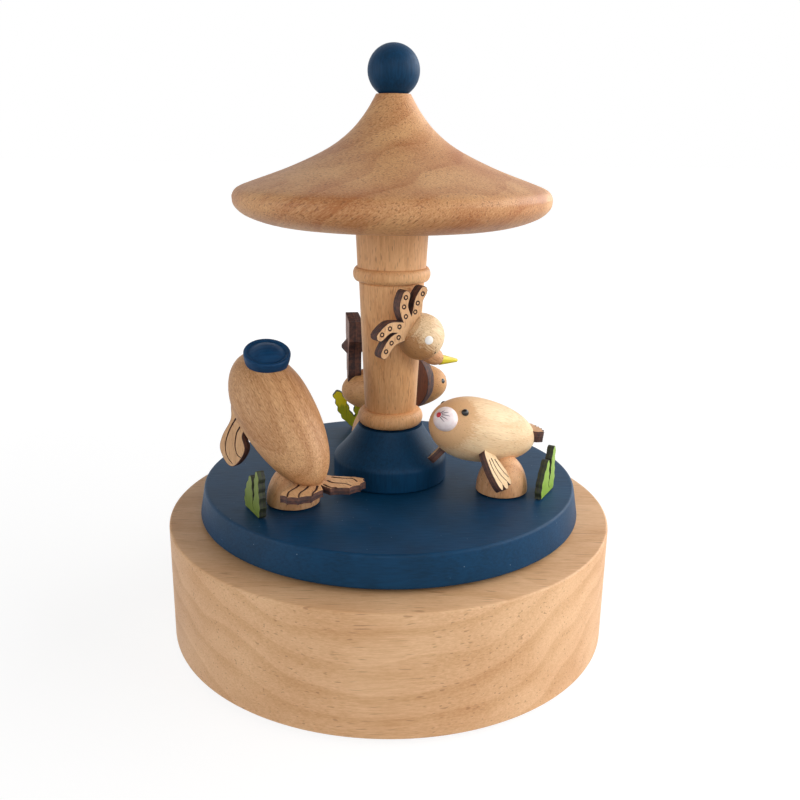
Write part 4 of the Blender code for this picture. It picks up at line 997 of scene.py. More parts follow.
@dataclass
class Drum(Assembly):
    """The hollow drum with its felt pads; the cover and its screws keep their CAD shapes."""

    radius: float = 59.99
    height: float = 32.1
    lift: float = 1.3
    hole: float = 3.0
    ceiling: float = 25.1
    cavity: float = 46.0
    recess: float = 51.0
    ledge: float = 3.3
    edge: float = 0.7
    pads: int = 3
    pad_radius: float = 3.0
    pad_height: float = 1.0
    pad_edge: float = 0.15
    pad_circle: float = 54.3

    def build(self) -> None:
        """Builds the drum and the pads."""
        corners = [
            (self.recess, 0.0, 0.0), (self.radius, 0.0, self.edge), (self.radius, self.height, self.edge),
            (self.hole, self.height, 0.2), (self.hole, self.ceiling, 0.2),
            (self.cavity, self.ceiling, 0.4), (self.cavity, self.ledge, 0.2),
            (self.recess, self.ledge, 0.0),
        ]
        self.put("drum", lathe(rounded(corners), 256), [DRUM_BEECH], moved((0, 0, self.lift)),
                 "base_drum", body=Body.BASE)
        pad = [(0.0, 0.0, 0.0), (self.pad_radius, 0.0, self.pad_edge),
               (self.pad_radius, self.pad_height, self.pad_edge), (0.0, self.pad_height, 0.0)]
        for number in range(self.pads):
            angle = 2 * math.pi * (number + 0.25) / self.pads
            place = (self.pad_circle * math.cos(angle), self.pad_circle * math.sin(angle), 0.0)
            self.put(f"felt_foot_{number + 1}", lathe(rounded(pad), 48), [WOOL], moved(place),
                     f"felt_pad_{number + 1}", body=Body.BASE)


@dataclass
class Movement(Assembly):
    """The comb movement, cover and screws: CAD shapes with their real metals and woods."""

    brass: tuple[str, ...] = ("bedplate", "pinned_cylinder", "cylinder_gear", "governor_wheel",
                              "governor_frame", "drive_gear", "washer", "comb_screw_1", "comb_screw_2")
    steel: tuple[str, ...] = ("spring_housing", "mainspring", "comb", "cylinder_shaft", "worm_and_fly",
                              "winding_arbor", "turntable_nut")
    zinc: tuple[str, ...] = ("cover_screw_1", "cover_screw_2", "cover_screw_3", "bed_screw_1",
                             "bed_screw_2", "bed_screw_3")

    def dress(self, nodes: dict[str, bpy.types.Object]) -> None:
        """Gives the CAD nodes their materials.

        Args:
            nodes: the CAD nodes by name.
        """
        groups = ((self.brass, BRASS), (self.steel, STEEL), (self.zinc, ZINC),
                  (("bottom_cover",), COVER_PLY), (("finial_dowel",), COLUMN_BEECH))
        for names, finish in groups:
            for name in names:
                mesh = nodes[name].data
                mesh.materials.clear()
                mesh.materials.append(self.workshop.get(finish))
                LOG.info("%s: %s", name, finish.name)


@dataclass
class Turntable(Assembly):
    """The painted disc that the animals stand on."""

    side_radius: float = 51.7
    top_radius: float = 50.3
    thickness: float = 8.1
    edge: float = 0.8
    recess: float = 8.3
    recess_height: float = 1.5

    def build(self) -> None:
        """Builds the disc."""
        low = -self.thickness
        corners = [
            (0.0, low + self.recess_height, 0.0), (self.recess, low + self.recess_height, 0.0),
            (self.recess, low, 0.1), (self.side_radius, low, self.edge),
            (self.top_radius, 0.0, self.edge), (0.0, 0.0, 0.0),
        ]
        self.put("disc", lathe(rounded(corners, 8), 256), [DISC_BLUE], self.on_top(), "turntable")


@dataclass
class Tower(Assembly):
    """Centre cone, column, roof and ball."""

    cone_radius: float = 15.4
    cone_rim: float = 5.6
    cone_band: float = 6.0
    cone_top: float = 8.7
    cone_height: float = 14.6
    cone_sag: float = 0.5
    bore: float = 5.3
    gap: float = 0.3
    foot: float = 15.2
    tenon: float = 5.0
    column_height: float = 52.3
    foot_radius: float = 6.9
    neck_radius: float = 8.5
    head_radius: float = 9.4
    collar_radius: float = 8.8
    collar_height: float = 4.0
    bead_radius: float = 10.1
    bead_height: float = 3.6
    bead_fall: float = 9.8
    groove: float = 0.3
    peg: float = 6.0
    peg_height: float = 9.0
    roof_radius: float = 40.3
    roof_rim: float = 7.7
    roof_height: float = 32.6
    roof_mouth: float = 9.7
    crown: float = 4.3
    dimple: float = 3.4
    dimple_depth: float = 1.3
    ball_radius: float = 6.45
    ball_sink: float = 1.01

    def build(self) -> None:
        """Builds the four turned pieces."""
        self.build_cone()
        self.build_column()
        self.build_roof()

    def build_cone(self) -> None:
        """Turns the cone with its straight band and sagging flare."""
        steps, start = 12, 0.06
        flare = []
        for step in range(steps + 1):
            share = start + (1 - start) * step / steps
            radius = self.cone_radius + (self.cone_top - self.cone_radius) * share
            height = self.cone_band + (self.cone_height - self.cone_band) * share
            flare.append((radius - self.cone_sag * math.sin(math.pi * share), height))
        band = [(self.bore, 0.0, 0.0), (self.cone_radius, 0.0, 0.3),
                (self.cone_radius, self.cone_rim, 0.5), (*flare[0], 0.0)]
        profile = rounded(band) + flare[1:] + [(self.bore, self.cone_height)]
        self.put("cone", lathe(profile), [TURNED_BLUE], self.on_top((0, 0, self.gap)), "centre_cone")

    def build_column(self) -> None:
        """Turns the column with a round collar at its foot and a bead under the roof."""
        foot, top = self.foot, self.foot + self.column_height
        bead_low = top - self.bead_fall - self.bead_height
        collar_top = foot + self.collar_height
        collar_inner = self.collar_radius - 0.35 * self.collar_height
        bead_inner = self.neck_radius + 0.3 * (self.bead_radius - self.neck_radius)
        near, far = 0.15, 0.55  # how far a groove's bottom and its far edge lie from a bead
        head_low = bead_low + self.bead_height + 0.1
        shoulder = top - self.gap
        profile: list[Point] = [(0.0, self.gap), (self.tenon, self.gap), (self.tenon, foot)]
        profile += bead(collar_inner, self.collar_radius, foot, self.collar_height)
        profile += [(self.foot_radius - self.groove, collar_top + near),
                    (self.foot_radius, collar_top + far), (self.neck_radius, bead_low - far),
                    (self.neck_radius - self.groove, bead_low - near)]
        profile += bead(bead_inner, self.bead_radius, bead_low, self.bead_height)
        profile += [((self.neck_radius + self.head_radius) / 2, head_low), (self.head_radius, shoulder),
                    (self.peg, shoulder), (self.peg, shoulder + self.peg_height),
                    (0.0, shoulder + self.peg_height)]
        self.put("column_turned", lathe(profile, 128), [COLUMN_BEECH], self.on_top(), "column")

    def build_roof(self) -> None:
        """Turns the bell roof, and the ball that sits in its crown."""
        rise = self.roof_height - self.roof_rim
        width = self.roof_radius - self.crown
        under = [(0.45, 0.04), (0.74, 0.16), (0.91, 0.42), (0.985, 0.72), (1.0, 1.0)]
        bell = [(0.993, 0.045), (0.972, 0.085), (0.93, 0.118), (0.86, 0.156), (0.62, 0.282),
                (0.42, 0.41), (0.28, 0.525), (0.16, 0.67), (0.07, 0.83), (0.0, 1.0)]
        knots = [(self.roof_mouth, 0.0)] + [(self.roof_radius * x, self.roof_rim * y) for x, y in under]
        knots += [(self.crown + width * x, self.roof_rim + rise * y) for x, y in bell]
        socket = self.peg + self.gap
        profile = [(0.0, self.peg_height), (socket, self.peg_height), (socket, 0.0)] + through(knots, 6)
        profile += [(self.dimple, self.roof_height), (0.0, self.roof_height - self.dimple_depth)]
        base = self.foot + self.column_height
        self.put("roof_turned", lathe(profile, 192), [ROOF_BEECH], self.on_top((0, 0, base)), "roof")
        height = base + self.roof_height + self.ball_radius - self.ball_sink
        self.put("ball", ball_mesh(self.ball_radius, 96, rings=48), [TURNED_BLUE],
                 self.on_top((0, 0, height)), "ball_finial")


@dataclass(frozen=True)
class Egg:
    """A turned egg along Z, widest at its origin, in millimetres."""

    radius: float
    tail: float
    head: float
    fullness: float = 1.0
    rings: int = 56

    def point(self, along: float) -> Point:
        """Radius and height at an angle from 0 at the tail end to pi at the head end."""
        reach = self.tail if along < math.pi / 2 else self.head
        return self.radius * max(math.sin(along), 0.0) ** self.fullness, -reach * math.cos(along)

    def mesh(self, start: float = 0.0) -> Mesh:
        """Turns the egg.

        Args:
            start: an angle above 0 cuts the tail end off flat.

        Returns:
            The egg's mesh.
        """
        points = [self.point(start + (math.pi - start) * ring / self.rings)
                  for ring in range(self.rings + 1)]
        points[-1] = (0.0, points[-1][1])
        if start > 0:
            points.insert(0, (0.0, points[0][1]))
        else:
            points[0] = (0.0, points[0][1])
        return lathe(points, 96)

    def seat(self, along: float, around: float, sink: float = 0.0) -> Matrix:
        """The place of a piece on the surface, with its Z pointing out.

        Args:
            along: degrees from the tail end to the head end.
            around: degrees about the egg.
            sink: how deep the piece is let in.

        Returns:
            The place in the egg's own axes.
        """
        radius, height = self.point(math.radians(along))
        turn = math.radians(around)
        spot = Vector((radius * math.cos(turn), radius * math.sin(turn), height))
        reach = self.tail if along < 90 else self.head
        out = Vector((spot.x / self.radius**2, spot.y / self.radius**2, spot.z / reach**2)).normalized()
        return moved(spot - out * sink) @ pointing(out)


def ball_mesh(radius: float, segments: int = 48, flat: float = 1.0, rings: int = 24) -> Mesh:
    """A small turned ball.

    Args:
        radius: its radius.
        segments: steps of the turn.
        flat: its height as a share of its width.
        rings: steps from its lower to its upper end.

    Returns:
        The ball's mesh.
    """
    points = [(radius * math.sin(math.pi * k / rings), -radius * flat * math.cos(math.pi * k / rings))
              for k in range(rings + 1)]
    points[0], points[-1] = (0.0, points[0][1]), (0.0, points[-1][1])
    return lathe(points, segments)


def fluke_outline(side: Sequence[Point], tips: Sequence[Point], bulge: float = 0.5) -> list[Point]:
    """The outline of a tail with two flukes, mirror images of each other.

    Args:
        side: from the root to the hip on one side.
        tips: ends of its round fingers, the last being the notch on the middle line.
        bulge: how round the fingers are.

    Returns:
        The whole outline.
    """
    steps = 8
    right: list[Point] = through(side, 5)[:-1] + [tuple(side[-1])]
    for start, end in zip(tips[:-2], tips[1:-1]):
        begin, way = Vector(start), Vector(end) - Vector(start)
        out = Vector((-way.y, way.x)).normalized() * -bulge
        for step in range(steps):
            turn = math.pi * step / steps
            right.append(tuple(begin + way * (1 - math.cos(turn)) / 2 - out * math.sin(turn)))
    right += [tuple(tips[-2]), tuple(tips[-1])]
    return right + mirrored(reversed(right[:-1]), -1)


@dataclass
class Animal(Assembly):
    """A turned egg on a domed stand, which looks along its own way."""

    spot: Point = (0.0, 0.0)
    middle: Spot = (0.0, 0.0, 0.0)
    egg: Egg = Egg(8.0, 16.0, 16.0)
    azimuth: float = 0.0
    climb: float = 0.0
    stand_radius: float = 6.8
    stand_height: float = 10.0

    def __post_init__(self) -> None:
        """Works out the places of the stand, the egg's middle and the egg."""
        self.base = self.on_top((*self.spot, 0.0))
        self.way = heading(self.azimuth, self.climb)
        self.home = self.base @ moved(self.middle)
        self.body = self.home @ pointing(self.way)

    def build_stand(self, name: str, node: str) -> None:
        """Turns the half egg stand with a broken foot edge.

        Args:
            name: the piece's name.
            node: the CAD node that it replaces.
        """
        rings = 24
        lift, radius, height = 0.3, self.stand_radius, self.stand_height
        points: list[Point] = [(0.0, lift), (radius - lift, lift), (radius - 0.05, 0.5)]
        for ring in range(1, rings + 1):
            angle = math.pi / 2 * ring / rings
            points.append((radius * math.cos(angle), 0.4 + (height - 0.1) * math.sin(angle)))
        points[-1] = (0.0, height + lift)
        self.put(name, lathe(points, 96), [STAND_BEECH], self.base, node)

    def beside(self, sign: int, side: float, ahead: float, rise: float) -> Vector:
        """A point in the animal's own directions.

        Args:
            sign: 1 for its left and -1 for its right.
            side: how far to that side.
            ahead: how far ahead.
            rise: how far up.

        Returns:
            The point.
        """
        level = Vector((self.way.x, self.way.y, 0)).normalized()
        return Vector((-level.y, level.x, 0)) * sign * side + level * ahead + Vector((0, 0, rise))


@dataclass
class LargeSeal(Animal):
    """The upright seal seen from behind, with its cap, flippers and spread tail."""

    spot: Point = (-24.573, -20.184)
    middle: Spot = (-5.0, 3.4, 24.7)
    egg: Egg = Egg(9.67, 23.7, 15.7)
    azimuth: float = 135.0
    climb: float = 43.4
    ply: float = 1.8
    snout: float = 3.1
    cap_spot: Spot = (-6.4, 4.64, 35.8)
    cap_way: Spot = (0.10, -0.37, 0.92)
    fin_spot: Spot = (6.9, 5.6, -0.8)  # to the side, ahead and up from the egg's middle
    fin_facing: Spot = (1.0, -0.05, 0.0)
    tail_spot: Spot = (7.9, -8.8, 7.2)
    tail_way: Spot = (0.51, -0.86, 0.0)

    def build(self) -> None:
        """Builds the seal."""
        self.build_stand("seal_a_stand", "seal_large_stand")
        self.put("seal_a_body", self.egg.mesh(), [SEAL_BEECH], self.body, "seal_large_body")
        self.put("seal_a_snout", ball_mesh(self.snout), [SNOUT_WHITE],
                 self.body @ self.egg.seat(152, -115), "seal_large_muzzle")
        cap = [(3.7, -3.6), (5.0, -1.4), (5.6, 0.6), (5.85, 2.2), (5.75, 2.8), (5.3, 3.05),
               (4.85, 2.8), (4.4, 2.75), (3.8, 3.1), (2.6, 3.8), (1.3, 4.2), (0.0, 4.3)]
        self.put("seal_a_cap", lathe([(0.0, cap[0][1])] + through(cap, 6), 96), [CAP_BLUE],
                 self.base @ moved(self.cap_spot) @ pointing(self.cap_way), "seal_large_cap")
        self.build_flippers()
        self.build_tail()

    def build_flippers(self) -> None:
        """Cuts the two side flippers with their engraved lines."""
        points = [(-2.4, -2.4), (1.2, -1.6), (1.8, 2.8), (5.5, 8.0), (6.8, 11.9), (4.4, 15.2),
                  (1.4, 15.5), (-2.0, 12.4), (-3.5, 9.4), (-2.6, 6.4), (-4.6, 2.4)]
        lines = [[(-0.5, 2.1), (2.1, 5.4), (4.0, 9.0), (4.4, 11.8), (3.6, 13.6), (1.9, 14.8)],
                 [(-1.8, 4.2), (-0.3, 6.4), (0.4, 9.8), (-0.3, 11.8), (-1.7, 12.3)]]
        for name, sign in (("left", 1), ("right", -1)):
            turn = attitude((0, 0, -1), self.beside(sign, *self.fin_facing))
            place = self.home @ moved(self.beside(sign, *self.fin_spot)) @ turn
            outline = through(mirrored(points, sign), 7, True)
            fin = self.put(f"seal_a_flipper_{name}", plate(outline, self.ply), [PLYWOOD, BURNT],
                           place, f"seal_large_flipper_{name}")
            self.engrave(fin, [mirrored(line, sign) for line in lines], self.ply, 0.24)

    def build_tail(self) -> None:
        """Cuts the spread tail plate."""
        side = [(3.4, -9.5), (4.6, -5.2), (7.3, -2.8), (10.0, -0.8)]
        tips = [(11.4, 1.1), (10.6, 3.2), (8.4, 4.6), (5.1, 5.1), (1.0, 3.0), (0.0, -0.2)]
        place = self.base @ moved(self.tail_spot) @ attitude(self.tail_way, (0, 0, 1))
        tail = self.put("seal_a_tail", plate(fluke_outline(side, tips), self.ply), [PLYWOOD, BURNT],
                        place, "seal_large_tail")
        lines = [
            [(3.4, -6.7), (4.5, -5.0)],
            [(3.2, -4.3), (5.6, -1.9), (8.6, 0.0), (10.3, 2.7)],
            [(2.5, -1.7), (4.3, 0.3), (6.6, 1.9), (8.0, 4.1)],
            [(1.0, -0.1), (2.5, 2.1), (3.9, 3.4), (4.8, 4.9)],
            [(-2.8, -2.0), (-3.3, -0.2), (-5.6, 1.8), (-6.2, 3.7)],
            [(-4.8, -3.6), (-6.7, -1.8), (-8.7, -0.3), (-8.8, 2.1)],
            [(-0.8, -0.1), (-1.3, 2.1), (-2.5, 3.1), (-2.4, 3.7)],
        ]
        self.engrave(tail, lines, self.ply, 0.34)


@dataclass
class SmallSeal(Animal):
    """The level seal that looks towards the column, with a white snout and bead eyes."""

    spot: Point = (29.767, -11.189)
    middle: Spot = (-8.1, -0.3, 17.2)
    egg: Egg = Egg(8.36, 20.8, 13.3)
    azimuth: float = 212.0
    climb: float = 17.6
    ply: float = 1.8
    tail_ply: float = 3.0
    snout: float = 3.1
    nose: Spot = (0.52, 0.84, 2.94)
    whiskers: tuple[Spot, ...] = ((1.18, 2.29, 1.73), (2.03, 2.11, 1.02), (2.71, 1.3, 0.77),
                                  (2.8, 0.34, 1.29), (2.44, -0.49, 1.85))

    def build(self) -> None:
        """Builds the seal."""
        self.build_stand("seal_b_stand", "seal_small_stand")
        self.put("seal_b_body", self.egg.mesh(), [PALE_BEECH], self.body, "seal_small_body")
        muzzle = self.body @ self.egg.seat(156, 30)
        self.put("seal_b_snout", ball_mesh(self.snout), [SNOUT_WHITE], muzzle, "seal_small_muzzle")
        self.paint_face(muzzle)
        for name, around, sink in (("left", 43, 0.1), ("right", 137, 0.5)):
            self.put(f"seal_b_eye_{name}", ball_mesh(0.95), [BEAD_BLACK],
                     self.body @ self.egg.seat(128, around, sink), f"seal_small_eye_{name}")
        self.build_flippers()
        side = [(2.2, -7.0), (2.8, -2.0), (4.4, 1.0)]
        tips = [(4.6, 3.0), (3.4, 3.9), (2.0, 4.4), (0.6, 4.6), (0.0, 3.4)]
        place = self.home @ moved(Vector((0, 0, 1.7)) - self.way * 18.2)
        self.put("seal_b_tail", plate(fluke_outline(side, tips), self.tail_ply), [PLYWOOD, BURNT],
                 place @ attitude((0.85, 0.52, -0.1), (0.1, 0, 1)), "seal_small_tail")

    def paint_face(self, muzzle: Matrix) -> None:
        """Paints the nose dot and the whiskers on the snout.

        Args:
            muzzle: the snout's place.
        """
        centre = Matrix.Translation(muzzle.translation) @ self.body.to_quaternion().to_matrix().to_4x4()
        nose = Vector(self.nose).normalized()
        place = centre @ moved(nose * (self.snout - 0.1)) @ pointing(nose)
        self.put("seal_b_nose", ball_mesh(0.7, 32, 0.5), [NOSE_RED], place)
        strokes = []
        for end in self.whiskers:
            line = [nose.slerp(Vector(end).normalized(), share) * self.snout
                    for share in (0.3, 0.45, 0.6, 0.75, 0.9)]
            strokes.append(stroke(line, 0.14))
        self.put("seal_b_whiskers", merged(strokes), [WHISKER_GREY], centre)

    def build_flippers(self) -> None:
        """Cuts the two front flippers."""
        points = [(1.6, -2.3), (3.4, 1.6), (3.9, 4.4), (3.9, 7.0), (3.1, 8.3), (2.0, 7.7), (1.5, 7.2),
                  (1.0, 8.6), (-0.2, 8.9), (-1.2, 8.2), (-1.6, 7.4), (-2.4, 8.6), (-3.5, 8.4), (-4.4, 7.2),
                  (-4.5, 5.6), (-3.4, 2.2), (-1.8, -2.3)]
        lines = [[(1.5, 0.2), (2.1, 2.6), (2.0, 4.9), (1.5, 7.0)],
                 [(0.0, 0.2), (0.2, 2.8), (-0.3, 5.2), (-1.5, 7.2)],
                 [(-1.5, 1.0), (-1.9, 3.2), (-2.6, 5.2), (-3.6, 6.8)]]
        ways = [("left", 1, 1.0, (7.5, 0.6, -5.9), (0.48, -0.28, -0.84), (0.69, -0.44, 0.54)),
                ("right", -1, 0.6, (2.1, 4.4, -2.1), (0.29, 0.65, -0.7), (-0.53, -0.47, -0.7))]
        for name, sign, slim, spot, length_way, facing in ways:
            turn = attitude(self.beside(sign, *length_way), self.beside(sign, *facing))
            place = self.home @ moved(self.beside(sign, *spot)) @ turn
            outline = through(mirrored(points, sign * slim), 7, True)
            fin = self.put(f"seal_b_flipper_{name}", plate(outline, self.ply), [PALE_PLYWOOD, BURNT],
                           place, f"seal_small_flipper_{name}")
            self.engrave(fin, [mirrored(line, sign * slim) for line in lines], self.ply, 0.24)


@dataclass
class Whale(Animal):
    """The whale behind the column, with dark side fins and a raised tail block."""

    spot: Point = (-5.194, 31.373)
    middle: Spot = (6.7, -1.1, 16.9)
    egg: Egg = Egg(7.4, 17.1, 15.9, 0.85)
    azimuth: float = -14.7
    climb: float = 9.8
    fin: float = 3.0
    block: float = 3.9
    edge: float = 0.15

    def build(self) -> None:
        """Builds the whale."""
        self.build_stand("whale_foot", "whale_stand")
        self.put("whale_turned", self.egg.mesh(), [WHALE_BEECH], self.body, "whale_body")
        for name, along, around in (("right", 167, 160), ("left", 160, 20)):
            self.put(f"whale_eye_{name}", ball_mesh(0.75, 32, 0.4), [BEAD_BLACK],
                     self.body @ self.egg.seat(along, around, 0.1))
        points = [(-1.0, -7.2), (-4.0, -3.6), (-4.4, 0.8), (-3.2, 4.2), (-0.2, 7.3), (3.0, 5.4),
                  (4.4, 1.0), (3.4, -4.0)]
        for name, sign, ahead, rise in (("right", -1, 8.9, 4.0), ("left", 1, 4.5, -1.0)):
            turn = attitude((0, 0, -1), self.beside(sign, 0.93, -0.38, 0.0))
            outline = through(mirrored(points, -sign), 7, True)
            self.put(f"whale_fin_{name}", plate(outline, self.fin, self.edge), [DARK_PLYWOOD, BURNT],
                     self.home @ moved(self.beside(sign, 7.6, ahead, rise)) @ turn,
                     f"whale_flipper_{name}")
        side = [(2.0, -3.4), (2.6, -0.8), (4.0, -0.4), (4.4, 6.0), (7.5, 10.5)]
        tips = [(7.6, 16.5), (5.4, 16.7), (3.2, 16.8), (1.0, 16.8), (0.0, 15.4)]
        place = self.base @ moved((-6.1, 1.4, 21.2)) @ attitude((0, 0, 1), (1.0, 0.12, 0.0))
        tail = self.put("whale_fluke", plate(fluke_outline(side, tips), self.block, self.edge),
                        [DARK_PLYWOOD, BURNT], place, "whale_tail")
        knob = lathe([(0.0, -3.7), (0.5, -3.7), (2.9, -1.6), (2.9, 1.6), (0.5, 3.7), (0.0, 3.7)], 32)
        knob.transform(moved((0, 7.6, 0)))
        carved(tail, knob, self.workshop.get(BURNT), "UNION")


@dataclass
class Octopus(Assembly):
    """The octopus on the column: an engraved plate of arms, a turned head and a yellow tip."""

    origin: Point = (7.7, -8.5)
    facing: Spot = (0.545, -0.839, 0.0)
    ply: float = 3.0
    rim: float = 0.14
    arm_start: float = 1.5
    arm_end: float = 1.25
    head: Egg = Egg(6.1, 6.4, 5.6)
    head_flat: float = 5.0
    head_spot: Spot = (0.1, 40.9, 0.0)
    head_way: Spot = (0.77, -0.636, 0.0)
    snout: Egg = Egg(2.4, 6.0, 3.9)
    snout_spot: Spot = (3.3, 35.8, 0.0)
    snout_way: Spot = (0.87, -0.5, 0.0)
    tip_spot: Spot = (6.0, 34.2, 0.0)
    tip_way: Spot = (0.98, -0.16, 0.0)

    def build(self) -> None:
        """Builds the octopus."""
        plane = self.on_top((*self.origin, 0.0)) @ attitude((0, 0, 1), self.facing)
        self.build_arms(plane)
        head = self.aimed(plane, self.head_spot, self.head_way)
        # The head's beech carries painted shade on its lower side
        self.put("octopus_head_turned", self.head.mesh(math.acos(self.head_flat / self.head.tail)),
                 [OCTOPUS_BEECH], head, "octopus_head")
        self.put("octopus_eye", ball_mesh(1.1, 32, 0.25), [EYE_WHITE], head @ self.head.seat(75.2, -172.3))
        # The mouth's darker beech is painted shade under the head
        self.put("octopus_snout", self.snout.mesh(), [MOUTH_BEECH_PAINTED_SHADE],
                 self.aimed(plane, self.snout_spot, self.snout_way), "octopus_mouth")
        self.put("octopus_dot", ball_mesh(0.32, 24, 0.4), [INK_DARK], head @ self.head.seat(119, -158))
        tip = rounded([(0.0, 0.0, 0.0), (1.45, 0.0, 0.1), (0.45, 5.8, 0.4), (0.0, 6.0, 0.0)])
        self.put("octopus_tip", lathe(tip, 48), [TIP_YELLOW],
                 plane @ moved(self.tip_spot) @ pointing(self.tip_way), "octopus_mouth_tip")

    @staticmethod
    def aimed(plane: Matrix, spot: Spot, way: Spot) -> Matrix:
        """The place of a turned piece that points along a way.

        Args:
            plane: the place of the plate's middle plane.
            spot: the piece's middle in the plate's axes, in millimetres.
            way: its way in the plate's axes.

        Returns:
            The piece's place.
        """
        middle = (plane @ moved(spot)).translation
        return Matrix.Translation(middle) @ pointing(plane.to_3x3() @ Vector(way))

    def build_arms(self, plane: Matrix) -> None:
        """Cuts the plate of four arms and engraves three suckers on each.

        Args:
            plane: the place of the plate's middle plane.
        """
        trunk = [(-2.0, 45.3), (-5.8, 40.8), (-7.2, 42.4), (-5.6, 45.6), (-3.4, 46.6)]
        lines = [
            [(-3.1, 45.0), (-2.4, 48.2), (-1.9, 50.8), (-0.5, 53.0)],
            [(-4.4, 44.6), (-6.0, 47.8), (-6.4, 49.9), (-5.7, 52.3)],
            [(-5.0, 43.9), (-9.4, 44.6), (-11.3, 44.1), (-13.2, 42.6)],
            [(-5.4, 42.4), (-9.0, 41.4), (-10.7, 39.9), (-12.0, 38.0)],
        ]
        arms = self.put("octopus_plate", plate(trunk, self.ply, 0.0), [PLYWOOD, BURNT], plane,
                        "octopus_arms")
        face, edge = self.workshop.get(PLYWOOD), self.workshop.get(BURNT)
        # A full width core with burnt sides, then a narrower layer over it that gives the broken edge
        for inset, thickness, finish in ((0.0, self.ply - 2 * self.rim, edge), (self.rim, self.ply, face)):
            for line in lines:
                outline = ribbon(through(line, 8), self.arm_start - inset, self.arm_end - inset)
                strip = plate(outline, thickness, 0.0)
                strip.materials.append(finish)
                strip.materials.append(edge)
                carved(arms, strip, edge, "UNION")
        suckers = [
            (-0.8, 52.3), (-2.3, 50.1), (-3.0, 47.9), (-5.9, 51.8), (-6.4, 49.5), (-5.8, 47.0),
            (-12.8, 43.1), (-10.5, 44.4), (-7.7, 44.6), (-11.6, 38.7), (-10.0, 40.7), (-7.9, 41.9),
        ]
        rings = []
        for x, y in suckers:
            ring = lathe([(0.3, -0.3), (0.66, -0.3), (0.66, 0.3), (0.3, 0.3)], 20)
            ring.transform(moved((x, y, self.ply / 2)))
            rings.append(ring)
        carved(arms, merged(rings), edge)


@dataclass
class Seaweed(Assembly):
    """Three cut seaweed plates that stand near the edge of the disc."""

    circle: float = 43.0
    height: float = 12.0
    width: float = 10.4
    turn: float = -10.0
    wave: float = 0.22
    waves: float = 2.6
    lean_mm: float = 9.0
    ply: float = 1.8

    def build(self) -> None:
        """Builds the three plates."""
        shares = [(-0.49, 0.0), (-0.5, 0.13), (-0.48, 0.28), (-0.365, 0.48), (-0.21, 0.67), (-0.08, 0.785),
                  (0.02, 0.755), (0.04, 0.54), (0.085, 0.31), (0.135, 0.345), (0.165, 0.525),
                  (0.19, 0.755), (0.3, 0.965), (0.405, 1.0), (0.475, 0.9), (0.46, 0.66), (0.49, 0.41),
                  (0.5, 0.2), (0.42, 0.0)]
        outline = through([(x * self.width, y * self.height) for x, y in shares], 5)
        outline = [(x + self.wave * math.sin(self.waves * y), y) for x, y in outline]
        slit = [(x * self.width, y * self.height) for x, y in ((0.09, 0.36), (0.05, 0.2), (0.12, 0.1))]
        for name, degrees, lean, finish in (("right", -18.1, 0.0, GREEN_PLYWOOD),
                                            # The left weed's darker green is painted shade
                                            ("left", 219.5, 0.0, PAINTED_SHADE_PLYWOOD),
                                            # The back weed's yellow top is painted light
                                            ("back", 106.0, 0.3, PAINTED_LIGHT_PLYWOOD)):
            leaning = []
            for x, y in outline:
                low = (1 - y / self.height) ** 2
                leaning.append((x * (1 + lean - 2 * lean * low) - self.lean_mm * lean * low, y))
            angle = math.radians(degrees)
            facing = angle + math.radians(self.turn)
            place = self.on_top((self.circle * math.cos(angle), self.circle * math.sin(angle), 0.3))
            place = place @ attitude((0, 0, 1), (math.cos(facing), math.sin(facing), 0.0))
            weed = self.put(f"weed_{name}", plate(leaning, self.ply), [finish, BLACK_GREEN], place,
                            f"seaweed_{name}")
            self.engrave(weed, [slit], self.ply, 0.2, BLACK_GREEN)


@dataclass(frozen=True)
class Lamp:
    """A soft rectangular lamp that shines on the middle of the box, in metres and watts."""

    name: str
    place: Spot
    size: Point
    power: float
    aim: Spot = (0.0, 0.0, 0.07)

    def hang(self) -> None:
        """Adds the lamp to the scene."""
        data = bpy.data.lights.new(self.name, "AREA")
        data.shape = "RECTANGLE"
        data.size, data.size_y = self.size
        data.energy = self.power
        way = Vector(self.aim) - Vector(self.place)
        turn = way.to_track_quat("-Z", "Y").to_matrix().to_4x4()
        linked(self.name, data).matrix_world = Matrix.Translation(self.place) @ turn


